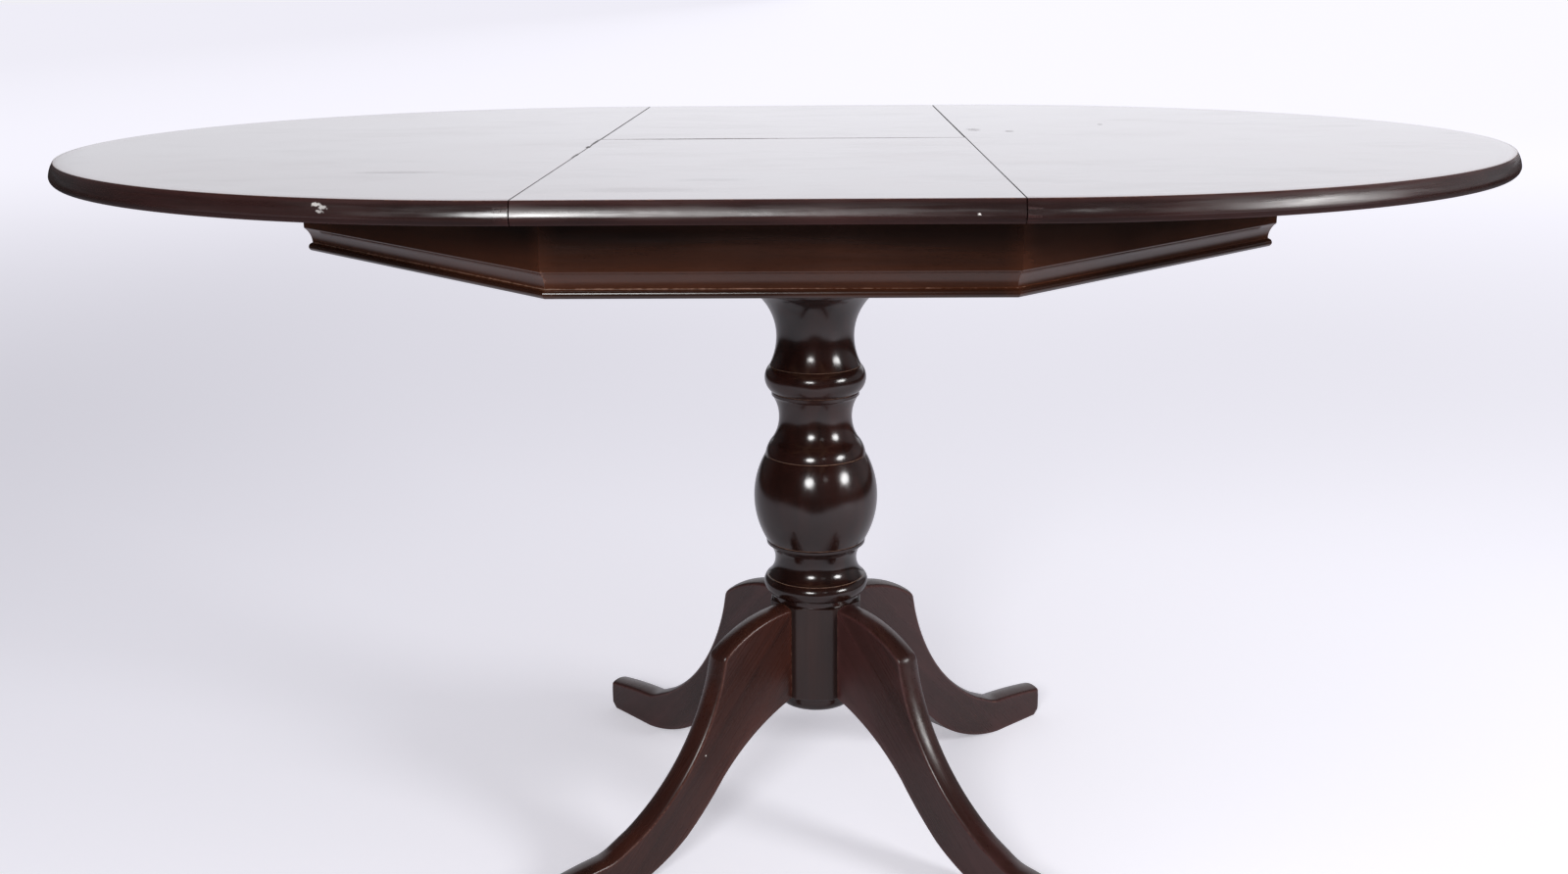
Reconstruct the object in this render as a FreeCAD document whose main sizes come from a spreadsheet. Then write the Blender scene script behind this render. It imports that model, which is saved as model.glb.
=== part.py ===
import FreeCAD, Part
import os
import re

import Sketcher
from FreeCAD import Placement, Rotation, Vector

# Extending pedestal dining table, shown extended with its folding leaf in place.
# X runs along the table's length, -Y faces the viewer and Z is up.
# The origin is on the floor, under the middle of the top. Lengths are in millimetres.

doc = FreeCAD.newDocument("ExtendingTable")
sheet = doc.addObject("Spreadsheet::Sheet", "Sizes")

sizes = {
    # Whole table
    "table_height": 774,
    "top_diameter": 1067,
    "top_thickness": 19,
    "leaf_width": 385,
    "seam_gap": 0.8,
    "fold_gap": 0.3,
    "slip": 0.3,
    "overrun": 2,
    # Moulded edge of the top
    "edge_reach": 5,
    # Eight-sided frame
    "frame_shift": 8,
    "frame_overhang": 69.5,
    "frame_height": 69,
    "frame_thickness": 22,
    "fascia_height": 47,
    "cove_height": 14.5,
    "cove_depth": 6.5,
    "quirk": 0.8,
    "bead_inset": 2.8,
    "corner_block_side": 45,
    "corner_block_height": 30,
    "corner_block_drop": 6,
    # Slides and runners
    "slide_end_gap": 19,
    "slide_width": 24,
    "slide_height": 39,
    "slide_spacing": 456,
    "tongue_height": 10,
    "tongue_depth": 6,
    "travel": 35,
    "runner_width": 18,
    "runner_inset": 24,
    "runner_reach": 325,
    "groove_stop": 20,
    # Bearers and top block
    "bearer_width": 60,
    "bearer_thickness": 22,
    "bearer_spacing": 200,
    "bearer_housing": 8,
    "top_block_length": 290,
    "top_block_width": 220,
    "top_block_thickness": 28,
    "top_block_bevel": 10,
    # Column
    "column_shift": 34,
    "column_turn": -2,
    "column_radius": 68.7,
    "tenon_radius": 25,
    "leg_block_flats": 100,
    "leg_block_height": 109,
    "leg_block_floor": 154,
    "foot_disc_radius": 44,
    "foot_disc_height": 18,
    "foot_ring_height": 3,
    "foot_ring_reach": 2,
    # Legs
    "leg_thickness": 28,
    "leg_reach": 386,
    "leg_crown": 4,
    "toe_height": 38,
    "toe_chamfer": 7,
    "dovetail_depth": 12,
    "dovetail_neck": 13,
    "dovetail_tail": 18,
    "dovetail_stop": 14,
    # Hinges
    "barrel_radius": 6,
    "barrel_length": 22,
    "barrel_spacing": 150,
    "barrel_slot": 3,
    "barrel_slot_depth": 9,
}

for row, (alias, number) in enumerate(sizes.items(), start=1):
    sheet.set(f"A{row}", alias)
    sheet.set(f"B{row}", str(number))
    sheet.setAlias(f"B{row}", alias)
doc.recompute()

# Places that several pieces share, as sums of sizes
under_top = "(table_height - top_thickness)"
frame_top = f"({under_top} - slip)"
frame_foot = f"({frame_top} - frame_height)"
slide_foot = f"({frame_top} - slide_height)"
bearer_foot = f"({slide_foot} - bearer_thickness)"
block_foot = f"({bearer_foot} - top_block_thickness)"
leg_top = "(leg_block_floor + leg_block_height)"
seam = "(leaf_width/2 + seam_gap)"
frame_outside = "(top_diameter/2 - frame_overhang)"
frame_inside = f"({frame_outside} - frame_thickness)"
octagon_turn = 45
mitre = "tan(22.5)"
mitre_sine = "sin(22.5)"
mitre_cosine = "cos(22.5)"

# How a sketch counts its own two axes, and a curve's start, end and centre
X_AXIS, Y_AXIS = range(-1, -3, -1)
ORIGIN = X_AXIS
START, END, CENTRE = range(1, 4)

nodes = {}


def named(text):
    """The same sum, with each size looked up in the sheet."""
    return re.sub(r"\b[a-z]\w*\b(?!\()", r"Sizes.\g<0>", str(text))


def value(text):
    """What a sum of sizes comes to."""
    return float(sheet.evalExpression(str(text)))


def bind(thing, sums):
    """Tie a thing's properties to sums of sizes."""
    for path, text in sums.items():
        thing.setExpression(path, named(text))


def place(thing, x="0", y="0", z="0", turn="0", axis=Vector(0, 0, 1)):
    """Turn a piece about its own origin by an angle in degrees, then move it."""
    thing.Placement = Placement(Vector(value(x), value(y), value(z)), Rotation(axis, value(turn)))
    bind(thing, {"Placement.Base.x": x, "Placement.Base.y": y, "Placement.Base.z": z})
    if value(turn) != 0:
        bind(thing, {"Placement.Rotation.Angle": turn})
    return thing


def node(thing, name):
    """Keep a finished piece under the name that a person would use."""
    thing.Label = name
    nodes[name] = thing
    return thing


def by(x, y):
    """In an outline, a point that the next side passes through, which makes it an arc."""
    return ("by", x, y)


class Drawing:
    """A sketch on one of a body's own planes, whose points are tied to sums of sizes."""

    def __init__(self, body, name, role, lift="0"):
        plane = next(part for part in body.Origin.OriginFeatures if part.Role == role)
        self.sketch = body.newObject("Sketcher::SketchObject", name)
        self.sketch.AttachmentSupport = (plane, [""])
        self.sketch.MapMode = "FlatFace"
        bind(self.sketch, {"AttachmentOffset.Base.z": lift})
        self.name = name
        self.limits = []
        self.sums = {}

    def limit(self, kind, *facts, text):
        """Give a constraint the value of a sum of sizes."""
        self.sums[len(self.limits)] = text
        self.limits.append(Sketcher.Constraint(kind, *facts, value(text)))

    def pin(self, curve, end, x, y):
        """Hold one point of a curve at x, y."""
        for kind, text, axis in (("DistanceX", x, Y_AXIS), ("DistanceY", y, X_AXIS)):
            if value(text) == 0:
                self.limits.append(Sketcher.Constraint("PointOnObject", curve, end, axis))
            else:
                self.limit(kind, ORIGIN, START, curve, end, text=text)

    def add(self, shape):
        """Put a curve into the sketch and return its number."""
        return self.sketch.addGeometry(shape, False)

    def side(self, start, middle, end):
        """A straight side, or an arc through a middle point. Returns its number and its two ends."""
        first = Vector(value(start[0]), value(start[1]), 0)
        last = Vector(value(end[0]), value(end[1]), 0)
        if middle is None:
            return self.add(Part.LineSegment(first, last)), START, END
        through = Vector(value(middle[1]), value(middle[2]), 0)
        left_turn = (through - first).cross(last - first).z > 0
        ends = (first, last) if left_turn else (last, first)
        shape = Part.Arc(ends[0], through, ends[1])
        curve = self.add(shape)
        mark = self.sketch.addGeometry(Part.Point(through), True)
        self.limits.append(Sketcher.Constraint("PointOnObject", mark, START, curve))
        self.pin(mark, START, middle[1], middle[2])
        return (curve, START, END) if left_turn else (curve, END, START)

    def outline(self, points, closed=True):
        """Sides through a list of corners, with arcs where by() stands between two of them."""
        path = list(points) + ([points[0]] if closed else [])
        corners = []
        middle = None
        sides = []
        for point in path:
            if point[0] == "by":
                middle = point
                continue
            if corners:
                sides.append(self.side(corners[-1], middle, point))
            corners.append(point)
            middle = None
        for index, (curve, start, end) in enumerate(sides):
            self.pin(curve, start, *corners[index])
            if index + 1 < len(sides) or closed:
                follower, follower_start, _ = sides[(index + 1) % len(sides)]
                self.limits.append(
                    Sketcher.Constraint("Coincident", curve, end, follower, follower_start))
            else:
                self.pin(curve, end, *corners[-1])
        return self.finish()

    def finish(self):
        """Put the constraints in and tie them to the sheet."""
        self.sketch.addConstraint(self.limits)
        for index, text in self.sums.items():
            self.sketch.renameConstraint(index, f"{self.name}_{index}")
            self.sketch.setExpression(f"Constraints.{self.name}_{index}", named(text))
        return self.sketch


def draw(body, name, role, points, lift="0", closed=True):
    """A closed or open outline on one of the body's planes."""
    return Drawing(body, name, role, lift).outline(points, closed)


def pad(body, name, sketch, length, both=False):
    """Raise an outline into a solid."""
    feature = body.newObject("PartDesign::Pad", name)
    feature.Profile = sketch
    feature.SideType = "Symmetric" if both else "One side"
    bind(feature, {"Length": length})
    return feature


def pocket(body, name, sketch, length, both=False):
    """Cut an outline out of the solid, against the sketch's normal or both ways."""
    feature = body.newObject("PartDesign::Pocket", name)
    feature.Profile = sketch
    feature.SideType = "Symmetric" if both else "One side"
    bind(feature, {"Length": length})
    return feature


def revolve(body, name, sketch, angle=360):
    """Turn a half-section about the body's upright axis, evenly to both sides."""
    feature = body.newObject("PartDesign::Revolution", name)
    feature.Profile = sketch
    feature.ReferenceAxis = (sketch, ["V_Axis"])
    feature.Midplane = True
    feature.Angle = angle
    return feature


def body_named(name):
    return doc.addObject("PartDesign::Body", name)


def bar(name, x, y, z):
    """A square bar. x, y and z each hold its low and high limit."""
    piece = doc.addObject("Part::Box", name)
    place(piece, x[0], y[0], z[0])
    bind(piece, {
        "Length": f"{x[1]} - ({x[0]})",
        "Width": f"{y[1]} - ({y[0]})",
        "Height": f"{z[1]} - ({z[0]})",
    })
    return piece


def joined(name, pieces):
    piece = doc.addObject("Part::MultiFuse", name)
    piece.Shapes = pieces
    return piece


def gathered(name, pieces):
    piece = doc.addObject("Part::Compound", name)
    piece.Links = pieces
    return piece


def cut(name, base, tool):
    piece = doc.addObject("Part::Cut", name)
    piece.Base = base
    piece.Tool = tool
    return piece


def curved(start, middle, end, count):
    """Points of a curve of even bend from start through middle to end, that part it into so many flats."""
    points = []
    for number in range(1, count):
        share = number / count
        weights = ((1 - share) * (1 - 2 * share), 4 * share * (1 - share), share * (2 * share - 1))
        points.append(tuple(sum(weight * spot[axis] for weight, spot in zip(weights, (start, middle, end)))
                            for axis in (0, 1)))
    return points


# The moulded edge, from the flat top down to its underside: shares of its reach past the flat
# top, and of the top's thickness. The lower half curves back in towards the underside.
upper_edge_shares = ((0, 0), (0.64, 0.316), (1, 0.658))
lower_edge_shares = ((1, 0.658), (0.86, 0.846), (0.3, 1))


def edge_section(side, start):
    """The top's section from start out to the moulded edge. side is "" or "-"."""
    shares = ([upper_edge_shares[0]] + curved(*upper_edge_shares, 2)
              + [lower_edge_shares[0]] + curved(*lower_edge_shares, 2)
              + [lower_edge_shares[2]])
    rim = [(f"{side}(top_diameter/2 + {out:.4f}*edge_reach)", f"-{down:.4f}*top_thickness")
           for out, down in shares]
    return [(f"{side}({start})", "0")] + rim + [(f"{side}({start})", "-top_thickness")]


# Slides: their tongues' outer corners stop a gap short of the frame's slanting sides
slide_half = "(slide_spacing/2)"
slide_back = f"({slide_half} + slide_width/2 + tongue_depth)"
slide_reach = f"({frame_inside}/sin(45) - {slide_back} - slide_end_gap)"

# Runners: the left half-top's run inside the fixed slides, the right one's outside
runner_far = f"({slide_reach} - frame_shift - runner_inset)"
runner_near = f"(runner_reach - {seam})"
groove_end = f"({runner_near} - groove_stop)"
tongue_end = f"({groove_end} - travel - slip)"


def runner_limits(inside):
    """The runner's low and high |y|, and its groove's."""
    toward = -1 if inside else 1
    face = f"({slide_half} + {toward}*(slide_width/2 + slip))"
    back = f"({face} + {toward}*runner_width)"
    groove = f"({face} + {toward}*(tongue_depth + slip))"
    mouth = f"({face} - {toward}*slip)"
    if inside:
        return (back, face), (groove, mouth)
    return (face, back), (mouth, groove)


def mirrored(limits, side):
    """Limits in x or y on the positive side, or turned over to the negative side."""
    return limits if side > 0 else (f"-({limits[1]})", f"-({limits[0]})")


tongue_foot = f"({slide_foot} + (slide_height - tongue_height)/2)"
tongue_top = f"({tongue_foot} + tongue_height)"
runner_foot = f"({slide_foot} + slip)"


def make_half_top(name, end):
    """A half-round top with a moulded rim, and its two runners. end is -1 or 1."""
    inside = end < 0
    body = body_named(f"{name}_body")
    sketch = draw(body, f"{name}_section", "XZ_Plane", edge_section("", "0"))
    revolve(body, f"{name}_turning", sketch, 180)
    node(place(body, f"{end}*{seam}", "0", "table_height", 0 if end > 0 else 180), name)
    runner_y, groove_y = runner_limits(inside)
    for side, which in ((-1, "front"), (1, "rear")):
        stick = bar(f"{name}_{which}_stick", mirrored((f"-{runner_near}", runner_far), end),
                    mirrored(runner_y, side), (runner_foot, under_top))
        easing = bar(f"{name}_{which}_easing", mirrored((f"-{runner_near} - overrun", seam), end),
                     mirrored((f"{runner_y[0]} - overrun", f"{runner_y[1]} + overrun"), side),
                     (f"{under_top} - slip", f"{under_top} + overrun"))
        groove = bar(f"{name}_{which}_groove",
                     mirrored((f"-{groove_end}", f"{runner_far} + overrun"), end),
                     mirrored(groove_y, side),
                     (f"{tongue_foot} - slip", f"{tongue_top} + slip"))
        waste = joined(f"{name}_{which}_waste", [easing, groove])
        label = name.replace("half_top", f"{which}_runner")
        node(cut(f"{label}_piece", stick, waste), label)


def make_leaf_half(name, side):
    """One half of the folding leaf, with concealed hinge barrels let into its fold edge."""
    body = body_named(f"{name}_blank")
    sign = "-" if side < 0 else ""
    sketch = draw(body, f"{name}_section", "YZ_Plane", edge_section(sign, "fold_gap/2"))
    pad(body, f"{name}_board", sketch, "leaf_width", both=True)
    place(body, "0", "0", "table_height")
    barrels = []
    for number in (-1, 0, 1):
        barrel = doc.addObject("Part::Cylinder", f"{name}_barrel_{number + 1}")
        bind(barrel, {"Radius": "barrel_radius", "Height": "barrel_length"})
        place(barrel, f"{number}*barrel_spacing", f"{side}*fold_gap/2",
              "table_height - top_thickness/2", -90 * side, Vector(1, 0, 0))
        barrels.append(barrel)
    bored = gathered(f"{name}_bores", barrels)
    node(cut(f"{name}_piece", body, bored), name)
    slots = [bar(f"{name}_slot_{number + 1}",
                 (f"{number}*barrel_spacing - barrel_slot/2",
                  f"{number}*barrel_spacing + barrel_slot/2"),
                 mirrored(("0", "fold_gap/2 + barrel_slot_depth"), side),
                 (f"{under_top}", "table_height"))
             for number in (-1, 0, 1)]
    label = f"{name}_hinge_barrels"
    node(cut(f"{label}_piece", bored, gathered(f"{name}_slots", slots)), label)


# The cove's deepest point: shares of its depth and height
cove_shares = (0.74, 0.42)


def make_frame_side(name, turn, housings):
    """One mitred side of the frame, with fascia, cove and bead. housings holds bearer places."""
    body = body_named(f"{name}_body")
    plan = [(out, f"{side}{out}*{mitre}")
            for out, side in ((frame_inside, "-"), (frame_outside, "-"),
                              (frame_outside, ""), (frame_inside, ""))]
    pad(body, f"{name}_board", draw(body, f"{name}_plan", "XY_Plane", plan), "frame_height")
    cove_top = "(frame_height - fascia_height)"
    cove_foot = f"({cove_top} - cove_height)"
    hollow = f"({frame_outside} - cove_depth)"
    bead_root = f"({hollow} + quirk)"
    moulding = [
        (frame_outside, cove_top),
        by(f"{frame_outside} - {cove_shares[0]}*cove_depth",
           f"{cove_top} - {cove_shares[1]}*cove_height"),
        (hollow, cove_foot),
        (bead_root, cove_foot),
        by(f"{frame_outside} - bead_inset", f"{cove_foot}/2"),
        (bead_root, "0"),
        (bead_root, "-overrun"),
        (f"{frame_outside} + overrun", "-overrun"),
        (f"{frame_outside} + overrun", cove_top),
    ]
    sketch = draw(body, f"{name}_moulding", "XZ_Plane", moulding)
    pocket(body, f"{name}_moulded", sketch, f"2*{frame_outside}", both=True)
    for number, middle in enumerate(housings):
        depth = (f"{frame_inside} - overrun", f"{frame_inside} + bearer_housing")
        ends = (f"{middle} - bearer_width/2", f"{middle} + bearer_width/2")
        corners = [(depth[0], ends[0]), (depth[1], ends[0]), (depth[1], ends[1]), (depth[0], ends[1])]
        sketch = draw(body, f"{name}_housing_{number}", "XY_Plane", corners,
                      lift=f"{slide_foot} - {frame_foot}")
        pocket(body, f"{name}_housed_{number}", sketch, "bearer_thickness")
    node(place(body, "frame_shift", "0", frame_foot, turn), name)


def make_corner_block(name, turn):
    """A glue block that fills one inside corner of the frame."""
    body = body_named(f"{name}_body")
    corner = f"({frame_inside}/{mitre_cosine})"
    back = f"({corner} - corner_block_side*{mitre_sine})"
    reach = f"(corner_block_side*{mitre_cosine})"
    sketch = draw(body, f"{name}_plan", "XY_Plane", [(corner, "0"), (back, reach), (back, f"-{reach}")])
    pad(body, f"{name}_stock", sketch, "corner_block_height")
    foot = f"{frame_top} - corner_block_drop - corner_block_height"
    node(place(body, "frame_shift", "0", foot, turn), name)


def make_frame():
    sides = ("right", "rear_right", "rear", "rear_left", "left", "front_left", "front", "front_right")
    bearer_middles = [f"(column_shift - frame_shift + {side}*bearer_spacing/2)" for side in (-1, 1)]
    for number, which in enumerate(sides):
        if which == "front":
            housings = bearer_middles
        elif which == "rear":
            housings = [f"-{middle}" for middle in bearer_middles]
        else:
            housings = []
        make_frame_side(f"frame_side_{which}", number * octagon_turn, housings)
        make_corner_block(f"corner_block_{number + 1}", (number + 0.5) * octagon_turn)


def make_slides():
    """Two fixed slides with a tongue on each side, and the two bearers under them."""
    left_end = f"(frame_shift - {slide_reach})"
    right_end = f"(frame_shift + {slide_reach})"
    for side, which in ((-1, "front"), (1, "rear")):
        core_y = (f"{slide_half} - slide_width/2", f"{slide_half} + slide_width/2")
        core = bar(f"slide_core_{which}", (left_end, right_end), mirrored(core_y, side),
                   (slide_foot, frame_top))
        inner_y = (f"{core_y[0]} - tongue_depth", core_y[0])
        outer_y = (core_y[1], f"{core_y[1]} + tongue_depth")
        inner = bar(f"inner_tongue_{which}", (left_end, tongue_end), mirrored(inner_y, side),
                    (tongue_foot, tongue_top))
        outer = bar(f"outer_tongue_{which}", (f"-{tongue_end}", right_end), mirrored(outer_y, side),
                    (tongue_foot, tongue_top))
        node(joined(f"fixed_slide_{which}_piece", [core, inner, outer]), f"fixed_slide_{which}")
    end = f"({frame_inside} + bearer_housing)"
    for side, which in ((-1, "left"), (1, "right")):
        x = f"(column_shift + {side}*bearer_spacing/2)"
        node(bar(f"bearer_{which}_piece", (f"{x} - bearer_width/2", f"{x} + bearer_width/2"),
                 (f"-{end}", end), (bearer_foot, slide_foot)), f"bearer_{which}")


def make_top_block():
    """The block between the column and the bearers, bevelled below and bored for the tenon."""
    body = body_named("top_block_body")
    half_x = "(top_block_length/2)"
    half_y = "(top_block_width/2)"
    corners = [(f"-{half_x}", f"-{half_y}"), (half_x, f"-{half_y}"), (half_x, half_y),
               (f"-{half_x}", half_y)]
    board = pad(body, "top_block_board", draw(body, "top_block_plan", "XY_Plane", corners),
                "top_block_thickness")
    doc.recompute()
    lower = [f"Edge{number}" for number, edge in enumerate(board.Shape.Edges, start=1)
             if edge.BoundBox.ZMax < value("overrun")]
    bevel = body.newObject("PartDesign::Chamfer", "top_block_bevelled")
    bevel.Base = (board, lower)
    bind(bevel, {"Size": "top_block_bevel"})
    bore = Drawing(body, "top_block_bore", "XY_Plane")
    circle = bore.add(Part.Circle(Vector(0, 0, 0), Vector(0, 0, 1), value("tenon_radius")))
    bore.limit("Radius", circle, text="tenon_radius")
    bore.limits.append(Sketcher.Constraint("Coincident", circle, CENTRE, ORIGIN, START))
    pocket(body, "top_block_bored", bore.finish(), "3*top_block_thickness", both=True)
    node(place(body, "column_shift", "0", block_foot), "top_block")


# The column's turned outline from the leg block up: the number of flats that a curve is turned
# in, or 0 for a plain corner, then shares of the turned height and of the ball's radius. A row
# with flats is a point that its curve passes through, between the corners above and below it.
turning_shares = (
    (0, 0.000, 0.713), (0, 0.014, 0.713),
    (3, 0.038, 0.850), (0, 0.065, 0.793),
    (3, 0.114, 0.665), (0, 0.159, 0.780), (0, 0.170, 0.803),
    (6, 0.298, 1.000), (0, 0.414, 0.809),
    (2, 0.434, 0.777), (0, 0.457, 0.693),
    (3, 0.514, 0.587), (0, 0.578, 0.683),
    (0, 0.581, 0.703), (0, 0.591, 0.705),
    (3, 0.628, 0.811), (0, 0.663, 0.731),
    (2, 0.706, 0.643), (0, 0.747, 0.619),
    (3, 0.820, 0.738), (0, 0.869, 0.990),
    (0, 0.876, 1.019), (0, 0.884, 1.019),
    (2, 0.900, 1.092), (0, 0.918, 1.019),
    (0, 0.918, 0.902), (0, 1.000, 0.902),
)


def make_column():
    """The turned column, with an eight-sided block at its foot, socketed for the legs."""
    body = body_named("column_body")
    turned = f"({block_foot} - {leg_top})"
    shoulder = f"(leg_block_height + {turned})"
    half_section = [("0", "leg_block_height")]
    shares = []
    for number, (flats, *spot) in enumerate(turning_shares):
        if flats:
            shares += curved(turning_shares[number - 1][1:], spot, turning_shares[number + 1][1:], flats)
        else:
            shares.append(spot)
    half_section += [(f"{radius_share:.4f}*column_radius", f"leg_block_height + {height_share:.4f}*{turned}")
                     for height_share, radius_share in shares]
    half_section += [
        ("tenon_radius", shoulder),
        ("tenon_radius", f"{shoulder} + top_block_thickness"),
        ("0", f"{shoulder} + top_block_thickness"),
    ]
    revolve(body, "column_turning", draw(body, "column_section", "XZ_Plane", half_section))
    corner = f"(leg_block_flats/2/{mitre_cosine})"
    octagon = [(f"{corner}*cos({22.5 + octagon_turn * number})",
                f"{corner}*sin({22.5 + octagon_turn * number})") for number in range(8)]
    pad(body, "leg_block", draw(body, "leg_block_plan", "XY_Plane", octagon), "leg_block_height")
    flat = "leg_block_flats/2"
    for number in range(4):
        angle = octagon_turn + 90 * number
        along = ((flat, "dovetail_neck/2"), (f"{flat} - dovetail_depth", "dovetail_tail/2"),
                 (f"{flat} - dovetail_depth", "-dovetail_tail/2"), (flat, "-dovetail_neck/2"))
        socket = [(f"({out})*cos({angle}) - ({aside})*sin({angle})",
                   f"({out})*sin({angle}) + ({aside})*cos({angle})") for out, aside in along]
        sketch = draw(body, f"socket_plan_{number}", "XY_Plane", socket,
                      lift="leg_block_height - dovetail_stop")
        pocket(body, f"socket_{number}", sketch, "leg_block_height")
    node(place(body, "column_shift", "0", "leg_block_floor", "column_turn"), "column")


# The disc's rounded lower edge: shares of its radius and height
foot_round_shares = ((1, 0.5), (0.94, 0.853), (0.795, 1))


def make_foot_disc():
    """The turned disc that closes the block's lower end, with a thin ring above its round edge."""
    body = body_named("foot_disc_body")
    ring = "(foot_disc_radius + foot_ring_reach)"
    half_section = [("0", "0"), (ring, "0"), (ring, "-foot_ring_height"),
                    ("foot_disc_radius", "-foot_ring_height")]
    rounding = [foot_round_shares[0]] + curved(*foot_round_shares, 2) + [foot_round_shares[2]]
    half_section += [(f"{out:.4f}*foot_disc_radius", f"-{down:.4f}*foot_disc_height")
                     for out, down in rounding]
    half_section.append(("0", "-foot_disc_height"))
    revolve(body, "foot_disc_turning", draw(body, "foot_disc_section", "XZ_Plane", half_section))
    node(place(body, "column_shift", "0", "leg_block_floor", "column_turn"), "foot_disc")


# The leg's outline, from the block's face out to the toe: shares of that reach and of the leg's rise
top_bend_shares = (0.153, 0.969)
knee_shares = (0.294, 0.876)
front_bend_shares = (0.464, 0.424)
front_end_shares = (0.746, 0.177)
toe_bend_share = 0.878
toe_rise_share = 1.14
sole_start_share = 0.759
under_bend_shares = (0.536, 0.083)
under_turn_shares = (0.342, 0.285)
root_bend_shares = (0.179, 0.475)

# Half of the crown across the leg's upper side: shares of half its thickness and of the crown
crown_shares = ((0.42, 0), (0.84, 0.5), (1.14, 1.36))


def make_leg(name, turn):
    """A sabre leg: a board with a sharp knee, a crowned upper side and a dovetail at its root."""
    body = body_named(f"{name}_body")
    root = "(leg_block_flats/2)"

    def out(share):
        return f"({root} + {share}*(leg_reach - {root}))"

    def spot(shares):
        return (out(shares[0]), f"{shares[1]}*{leg_top}")

    toe_bend = (out(toe_bend_share), f"{toe_rise_share}*toe_height")
    upper = [
        (root, leg_top), by(*spot(top_bend_shares)),
        spot(knee_shares), by(*spot(front_bend_shares)),
        spot(front_end_shares), by(*toe_bend),
        ("leg_reach", "toe_height"),
    ]
    lower = [
        ("leg_reach", "toe_chamfer"), ("leg_reach - toe_chamfer", "0"),
        (out(sole_start_share), "0"), by(*spot(under_bend_shares)),
        spot(under_turn_shares), by(*spot(root_bend_shares)),
        (root, "leg_block_floor"),
    ]
    side = draw(body, f"{name}_side", "XZ_Plane", upper + lower)
    pad(body, f"{name}_board", side, "leg_thickness", both=True)
    ridge = draw(body, f"{name}_ridge", "XZ_Plane",
                 [(f"{root} - overrun", leg_top)] + upper + [("leg_reach + overrun", "toe_height")],
                 closed=False)
    half = "(leg_thickness/2)"
    above = f"({leg_top} + leg_crown)"
    flank = [(f"{out}*{half}", f"{leg_top} - {down}*leg_crown") for out, down in crown_shares]
    crown = draw(body, f"{name}_crown", "YZ_Plane", [(f"-{x}", y) for x, y in reversed(flank)] + flank
                 + [(flank[-1][0], above), (f"-{flank[-1][0]}", above)], lift=f"{root} - overrun")
    sweep = body.newObject("PartDesign::SubtractivePipe", f"{name}_crowned")
    sweep.Profile = crown
    sweep.Spine = (ridge, [])
    sweep.Mode = "Standard"
    sweep.Transition = "Right corner"
    tail = [(f"{root}", "-dovetail_neck/2"), (f"{root}", "dovetail_neck/2"),
            (f"{root} - dovetail_depth", "dovetail_tail/2"),
            (f"{root} - dovetail_depth", "-dovetail_tail/2")]
    sketch = draw(body, f"{name}_tail", "XY_Plane", tail, lift="leg_block_floor")
    pad(body, f"{name}_dovetail", sketch, "leg_block_height - dovetail_stop")
    node(place(body, "column_shift", "0", "0", turn), name)


make_half_top("left_half_top", -1)
make_half_top("right_half_top", 1)
make_leaf_half("leaf_front_half", -1)
make_leaf_half("leaf_rear_half", 1)
make_frame()
make_slides()
make_top_block()
make_column()
make_foot_disc()
for leg_number, which_leg in enumerate(("rear_right", "rear_left", "front_left", "front_right")):
    make_leg(f"leg_{which_leg}", f"{octagon_turn + 90 * leg_number} + column_turn")

doc.recompute()

for thing in doc.Objects:
    if "Invalid" in thing.State or "Error" in thing.State:
        raise RuntimeError(f"{thing.Label} failed: {thing.State}")
for name, thing in nodes.items():
    if thing.Shape.isNull() or not thing.Shape.isValid() or not thing.Shape.Solids:
        raise RuntimeError(f"{name} has no valid solid")

os.makedirs("parts", exist_ok=True)
for name, thing in nodes.items():
    thing.Shape.exportStep(os.path.join("parts", f"{name}.step"))
    box = thing.Shape.BoundBox
    print(f"{name:34s} solids {len(thing.Shape.Solids):2d} volume {thing.Shape.Volume:12.1f} "
          f"x {box.XMin:8.1f} {box.XMax:8.1f} y {box.YMin:8.1f} {box.YMax:8.1f} "
          f"z {box.ZMin:7.1f} {box.ZMax:7.1f}")
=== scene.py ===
"""An extending pedestal table in polished mahogany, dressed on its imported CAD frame.

Metres, with +X along the table, +Y away from the viewer and +Z up. The origin is on the floor,
under the middle of the top.
"""

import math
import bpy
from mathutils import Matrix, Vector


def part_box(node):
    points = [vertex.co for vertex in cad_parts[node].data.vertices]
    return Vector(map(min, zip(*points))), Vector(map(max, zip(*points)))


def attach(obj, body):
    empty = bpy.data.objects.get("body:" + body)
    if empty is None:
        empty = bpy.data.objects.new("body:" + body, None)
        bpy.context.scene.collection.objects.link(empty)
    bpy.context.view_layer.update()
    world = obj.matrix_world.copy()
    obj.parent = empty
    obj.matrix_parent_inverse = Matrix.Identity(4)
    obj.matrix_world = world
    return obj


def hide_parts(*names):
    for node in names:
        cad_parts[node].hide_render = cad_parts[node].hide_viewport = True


bl_info = {
    "name": "Extending pedestal table",
    "version": (1, 0, 0),
    "blender": (4, 5, 0),
    "location": "3D View > Sidebar > Table",
    "description": "Makes a pedestal table with half-round sliding tops and a folding leaf",
    "category": "Add Mesh",
}

import bmesh
import bpy
import numpy as np
from bpy.props import FloatProperty, FloatVectorProperty, PointerProperty
from mathutils import Matrix, Vector

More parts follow.
